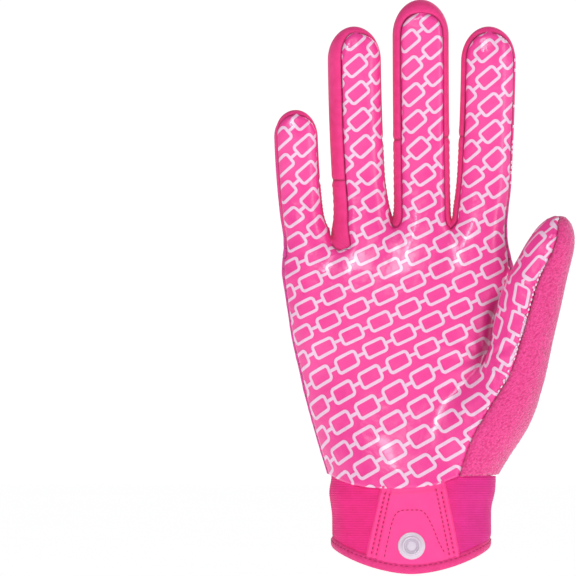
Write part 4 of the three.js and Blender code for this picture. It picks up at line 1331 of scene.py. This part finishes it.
# Weave: fine crossed threads with some unevenness, from coordinates in millimetres
n, (vector, pitch, unevenness), shared = newGroup(
    "weave", {"Vector": None, "Pitch": 0.8, "Unevenness": 0.3}, ["Height", "Shade"])
noise = n.noise(vector, 0.35, 4.0)
warp, weft = [n.math("SINE", part * fullTurn / pitch + noise * 5.0) for part in n.split(vector)[:2]]
n.feed(shared["Height"], warp * weft * 0.5 + (noise - 0.5) * unevenness)
n.feed(shared["Shade"], noise)
weaveTree = n.tree

# Ribs: level ridges of an elastic or a tape, from coordinates in millimetres
n, (vector, pitch, unevenness), shared = newGroup(
    "ribs", {"Vector": None, "Pitch": 0.9, "Unevenness": 0.6}, ["Height", "Shade"])
noise = n.noise(vector, 0.25, 3.0)
x, y, _ = n.split(vector)
ridge = n.math("SINE", y * fullTurn / pitch + noise * unevenness)
n.feed(shared["Height"], ridge * 0.5 + n.math("SINE", x * 9.0) * 0.12)
n.feed(shared["Shade"], noise)
ribTree = n.tree

# Grain: the pebbled skin of a coated cloth
n, (vector, scale), shared = newGroup("grain", {"Vector": None, "Scale": 1.6}, ["Height", "Shade"])
n.feed(shared["Height"], n.cells(vector, scale))
n.feed(shared["Shade"], n.noise(vector, 0.2, 5.0))
grainTree = n.tree


def startMaterial(name, roughness, sheen=0.0, coat=0.0):
    material = bpy.data.materials.new(name)
    material.use_nodes = True
    tree = material.node_tree
    tree.nodes.clear()
    n = Nodes(tree)
    shader = n.add("ShaderNodeBsdfPrincipled", Roughness=roughness, Sheen_Weight=sheen, Coat_Weight=coat)
    output = tree.nodes.new("ShaderNodeOutputMaterial")
    tree.links.new(shader.outputs[0], output.inputs[0])
    uv = tree.nodes.new("ShaderNodeUVMap")
    uv.uv_map = "cloth"
    return material, n, shader.inputs, Value(n, uv.outputs[0])


def bump(n, shader, height, strength, distance):
    n.feed(shader["Normal"], n.read("ShaderNodeBump", 0, Strength=strength, Distance=distance * metres,
                                    Height=height))


def shaded(n, tint, depth, width):  # a colour darkened along the piece's seams
    return n.blend(1.0, tint, n.group(seamTree, Depth=depth, Width=width)[0], "MULTIPLY")


def sideShaded(n, base, tint, low, high):  # painted shade: a colour multiplied by a cooler tint, more from low to high across the glove
    x = n.split(n.read("ShaderNodeTexCoord", "Object"))[0]
    return n.blend(n.ramp(x, low * metres, high * metres), base, tint, "MULTIPLY")


# The print: degrees, and millimetres between rows, between links, of half a link, its corners and its line
link = {"tilt": 25.0, "rowStep": 9.0, "pitch": 12.8, "halfX": 4.5, "halfY": 2.75, "radius": 1.3, "line": 1.24,
        "soft": 0.09}


def linkMask(n, uv):  # rows of closed links and short bars, by the distance to a rounded rectangle's outline
    x, y, _ = n.split(uv)
    c, s = float(np.cos(np.radians(link["tilt"]))), float(np.sin(np.radians(link["tilt"])))
    up = y * c - x * s
    row = n.math("ROUND", up / link["rowStep"])
    shifted = x * c + y * s + row * (link["pitch"] / 2)
    absX = abs(shifted - n.math("ROUND", shifted / link["pitch"]) * link["pitch"])
    absY = abs(up - row * link["rowStep"])
    qx = absX - (link["halfX"] - link["radius"])
    qy = absY - (link["halfY"] - link["radius"])
    px, py = n.math("MAXIMUM", qx, 0.0), n.math("MAXIMUM", qy, 0.0)
    inside = n.math("MINIMUM", n.math("MAXIMUM", qx, qy), 0.0)
    outline = abs(n.math("SQRT", px * px + py * py) + inside - link["radius"])
    bar = n.math("MAXIMUM", absY, link["halfX"] - absX)
    away = n.math("MINIMUM", outline, bar) - link["line"] / 2
    return 1.0 - n.ramp(away, -link["soft"], link["soft"])


def gripMaterial():
    material, n, shader, uv = startMaterial("grip_print", 0.34, coat=0.34)
    mask = linkMask(n, uv)
    pebbles, shade = n.group(grainTree, Vector=uv, Scale=1.4)
    printed = n.blend(mask, n.blend(shade, colour(235, 53, 144), colour(242, 65, 156)), colour(232, 196, 221))
    # painted shade: the print darkened in the fold between palm and thumb
    printed = n.blend(n.attribute("fold") * 0.78, printed, colour(128, 12, 66))
    # painted highlight: the print lightened along the thumb's rim beside the fold
    printed = n.blend(n.attribute("rim") * 0.7, printed, colour(244, 206, 230))
    n.feed(shader["Base Color"], shaded(n, printed, 0.2, 0.5))
    n.feed(shader["Roughness"], shade * 0.16 + 0.26)
    n.feed(shader["Coat Roughness"], 0.07)
    bump(n, shader, mask + pebbles * 0.12 + n.noise(uv, 0.12, 3.0) * 4.5, 0.55, 0.35)
    return material


# The back's artwork: places in millimetres on the cloth, the ball's half width and the rings outside it
rings = {"centreX": 20.0, "centreZ": 104.0, "tilt": -16.0, "stretch": 1.35, "ball": 13.8, "from": 17.0,
         "pitch": 7.6, "thin": 0.08, "grow": 0.5}
lacing = {"halfBar": 0.8, "barLength": 9.5, "rungPitch": 3.4, "halfRung": 0.2, "rungReach": 4.0,
          "rungsEnd": 8.6, "bandAt": 14.0, "halfBand": 0.7}


def backArtwork(n, uv):  # white rings that grow wider downwards, round a laced ball
    x, z, _ = n.split(uv)
    dx, dz = x - rings["centreX"], z - rings["centreZ"]
    c, s = float(np.cos(np.radians(rings["tilt"]))), float(np.sin(np.radians(rings["tilt"])))
    across, up = dx * c - dz * s, dx * s + dz * c
    stretched = up / rings["stretch"]
    reach = n.math("SQRT", across * across + stretched * stretched)
    ball = 1.0 - n.ramp(reach, rings["ball"] - 0.2, rings["ball"] + 0.2)
    width = n.ramp(up * -1.0, -50.0, 20.0) * rings["grow"] + rings["thin"]
    ring = n.math("FRACT", (reach - rings["from"]) / rings["pitch"]) < width
    bar = (abs(across) < lacing["halfBar"]) * (abs(up) < lacing["barLength"])
    rung = abs(n.math("FRACT", (up + 50.0) / lacing["rungPitch"]) - 0.5) < lacing["halfRung"]
    rungs = rung * (abs(across) < lacing["rungReach"]) * (abs(up) < lacing["rungsEnd"])
    band = abs(abs(up) - lacing["bandAt"]) < lacing["halfBand"]
    lines = n.math("MAXIMUM", n.math("MAXIMUM", bar, rungs), band)
    return n.math("MAXIMUM", ball * (1.0 - lines), ring * (reach > rings["from"]))


def cellValley(n):  # 1 between the same cells as the knit's relief; it sinks the bump there and paints shade in the valleys
    x, _, z = n.split(n.read("ShaderNodeTexCoord", "Object"))
    rowShare = z / (cell["height"] * metres)
    columnShare = x / (cell["width"] * metres) + n.math("FLOOR", rowShare) % 2.0 * 0.5
    u, v = [(abs(n.math("FRACT", part) - 0.5) * 2.0) ** cell["round"] for part in (columnShare, rowShare)]
    return n.ramp(u + v, 0.72, 1.25)


def knitMaterial():
    material, n, shader, uv = startMaterial("back_knit", 0.78, sheen=0.2)
    white = backArtwork(n, uv) * n.ramp(n.attribute("facing"), 0.0, 0.2)
    threads, shade = n.group(weaveTree, Vector=uv, Pitch=1.1, Unevenness=0.5)
    valley = cellValley(n)
    cloth = n.blend(white, n.blend(shade, colour(214, 36, 132), colour(240, 62, 178)), colour(226, 216, 221))
    # painted shade: the valleys between the knit's cells darkened
    cloth = n.blend(valley * (1.0 - white * 0.8) * 0.75, cloth, colour(150, 14, 84))
    n.feed(shader["Base Color"], shaded(n, cloth, 0.4, 0.9))
    bump(n, shader, threads + white * 0.8 - valley, 0.6, 0.3)
    return material


def clothMaterial(name, tree, dark, light, pitch, roughness, sheen, strength, distance, seamed=False,
                  tint=None):
    material, n, shader, uv = startMaterial(name, roughness, sheen)
    size = {"Scale": pitch} if tree is grainTree else {"Pitch": pitch, "Unevenness": 0.5}
    height, shade = n.group(tree, Vector=uv, **size)
    # partly painted shade: the colour follows the bump's height, darker in the hollows and lighter on the
    # crests, and partly a random tone
    base = n.blend(n.math("ADD", height * 0.35, shade, clamp=True), colour(*dark), colour(*light))
    base = shaded(n, base, 0.3, 0.7) if seamed else base
    # painted shade towards the thumb side, where a tint is given
    base = sideShaded(n, base, *tint) if tint else base
    n.feed(shader["Base Color"], base)
    bump(n, shader, height, strength, distance)
    return material


def towelMaterial():
    material, n, shader, uv = startMaterial("towelling", 0.95, sheen=0.45)
    # partly painted shade: darker between the loops, where the bump sinks, and lighter on them, with a random
    # tone
    tufts = n.cells(uv, 1.25) * -0.8 + n.noise(uv, 0.8, 6.0)
    base = n.blend(n.math("ADD", tufts, 0.35, clamp=True), colour(204, 30, 112), colour(250, 82, 162))
    n.feed(shader["Base Color"], shaded(n, base, 0.35, 0.9))
    bump(n, shader, tufts, 0.9, 0.5)
    return material


def plainMaterial(name, base, roughness, coat=0.0):
    material, n, shader, uv = startMaterial(name, roughness, coat=coat)
    noise = n.noise(uv, 0.7, 4.0)
    n.feed(shader["Base Color"], n.blend(noise, tuple(part * 0.93 for part in base[:3]) + (1,), base))
    bump(n, shader, noise, 0.15, 0.1)
    return material


grip = gripMaterial()
knit = knitMaterial()
towel = towelMaterial()
# dark and light colour, pitch or scale, roughness, sheen, and the bump's strength and depth
jersey = clothMaterial("jersey", weaveTree, (224, 34, 116), (246, 60, 144), 0.9, 0.8, 0.12, 0.5, 0.2,
                       seamed=True)
coolSideShade = ((0.81, 0.97, 1.08, 1.0), 6.0, 26.0)  # painted shade: the thumb side is coloured as if it lay in a cooler, weaker light
elastic = clothMaterial("elastic", ribTree, (221, 20, 112), (244, 32, 138), 0.95, 0.75, 0.03, 0.25, 0.2,
                        tint=coolSideShade)
leather = clothMaterial("soft_leather", grainTree, (246, 48, 136), (255, 64, 150), 2.2, 0.55, 0.05, 0.12, 0.1)
strapCloth = clothMaterial("strap_face", grainTree, (218, 28, 112), (234, 42, 130), 2.6, 0.6, 0.08, 0.15, 0.1)
tape = clothMaterial("tape", weaveTree, (212, 30, 112), (240, 54, 140), 0.7, 0.7, 0.15, 0.5, 0.2)
thread = plainMaterial("thread", colour(178, 20, 88), 0.6)
# painted highlight: a pale glossy colour for the dashes that stand in for glints
glintPaint = plainMaterial("painted_glint", colour(246, 206, 230), 0.2, 0.8)
snapPlastic = plainMaterial("snap_plastic", colour(214, 202, 216), 0.3, 0.25)

dressed = [
    (palmPanel, grip, "grip_print", ["palm_panel"]),
    (backPanel, knit, "knit", ["back_panel"]),
    (towelPanel, towel, "towelling", ["thumb_towel"]),
]
for piece in gussets + strips:
    dressed.append((piece, jersey, "jersey", [piece.name.replace("web_", "").replace("finger_", "side_")]))
dressed += [
    (cuff, elastic, "elastic", ["cuff_elastic"]),
    (patch, leather, "soft_leather", ["cuff_patch"]),
    (hem, tape, "trim", ["hem_binding"]),
    (snap, snapPlastic, "snap_plastic", ["snap"]),
    (strapPanel, strapCloth, "soft_leather", ["strap"]),
    (labelPanel, strapCloth, "soft_leather", ["strap_label"]),
    (binding, tape, "trim", ["strap_binding"]),
    (slitTape, tape, "trim", ["slit_binding"]),
    (seamGlints, glintPaint, "trim", []),
    (patchStitches, thread, "trim", []),
    (strapStitches, thread, "trim", []),
    (hemStitches, thread, "trim", []),
]
for piece, material, slotName, nodes in dressed:
    piece.data.materials.append(material)
    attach(piece, "root")
    if nodes:
        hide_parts(*nodes)

print("stage")
stage = {"photoScale": 0.41, "photoCentreX": 411.0, "photoBottom": 573.0, "imageSize": 576.0,
         "distance": 5000.0, "floorDrop": 60.0}


def studioFloor():  # a wide flat floor under the glove
    x, y = np.meshgrid(np.linspace(-6000, 6000, 2), np.linspace(-6000, 6000, 2), indexing="xy")
    points = np.stack([x, y, 0 * x - stage["floorDrop"]], axis=-1)
    return gridMesh("studio_floor", makeGrid(points, points[..., :2] * 0.01))


floor = studioFloor()
floorMaterial = plainMaterial("studio_paper", colour(246, 246, 247), 0.9)
for node in floorMaterial.node_tree.nodes:
    if node.type == "BSDF_PRINCIPLED":
        node.inputs["Emission Color"].default_value = (1, 1, 1, 1)
        node.inputs["Emission Strength"].default_value = 0.75
floor.data.materials.append(floorMaterial)

world = bpy.data.worlds.new("studio")
world.use_nodes = True
worldNodes = world.node_tree
sky = worldNodes.nodes["Background"]
sky.inputs["Color"].default_value = (1.0, 1.0, 1.0, 1.0)
seen = worldNodes.nodes.new("ShaderNodeLightPath")
level = worldNodes.nodes.new("ShaderNodeMapRange")  # the white wall behind is lit more than the room
level.inputs["To Min"].default_value = 0.27
level.inputs["To Max"].default_value = 1.05
worldNodes.links.new(seen.outputs["Is Camera Ray"], level.inputs["Value"])
worldNodes.links.new(level.outputs[0], sky.inputs["Strength"])
bpy.context.scene.world = world


def areaLight(name, place, target, size, power):
    light = bpy.data.lights.new(name, "AREA")
    light.shape = "RECTANGLE"
    light.size, light.size_y = size
    light.energy = power
    thing = bpy.data.objects.new(name, light)
    thing.location = Vector(place)
    thing.rotation_euler = (Vector(target) - Vector(place)).to_track_quat("-Z", "Y").to_euler()
    bpy.context.scene.collection.objects.link(thing)


areaLight("key", (-0.2, -1.1, 0.72), (0, 0, 0.12), (0.36, 0.36), 4.8)
areaLight("side", (1.0, -0.7, 0.35), (0, 0, 0.12), (0.25, 0.9), 2.9)
areaLight("glint", (-0.3, -1.4, 0.65), (0, 0, 0.15), (0.07, 0.3), 1.3)
areaLight("back", (0.5, 1.0, 0.7), (0, 0, 0.12), (0.7, 0.7), 6)

# The camera stands square to the palm, far enough away for nearly parallel rays
camera = bpy.data.cameras.new("camera")
cameraObject = bpy.data.objects.new("camera", camera)
bpy.context.scene.collection.objects.link(cameraObject)
frameWidth = stage["imageSize"] * stage["photoScale"]
centreX = (stage["imageSize"] / 2 - stage["photoCentreX"]) * stage["photoScale"]
centreZ = (stage["photoBottom"] - stage["imageSize"] / 2) * stage["photoScale"]
camera.sensor_width = 36
camera.lens = 36 * stage["distance"] / frameWidth
camera.clip_end = 20
cameraObject.location = Vector((centreX, -stage["distance"], centreZ)) * metres
cameraObject.rotation_euler = (np.radians(90), 0, 0)
bpy.context.scene.camera = cameraObject
bpy.context.scene.view_settings.view_transform = "Standard"
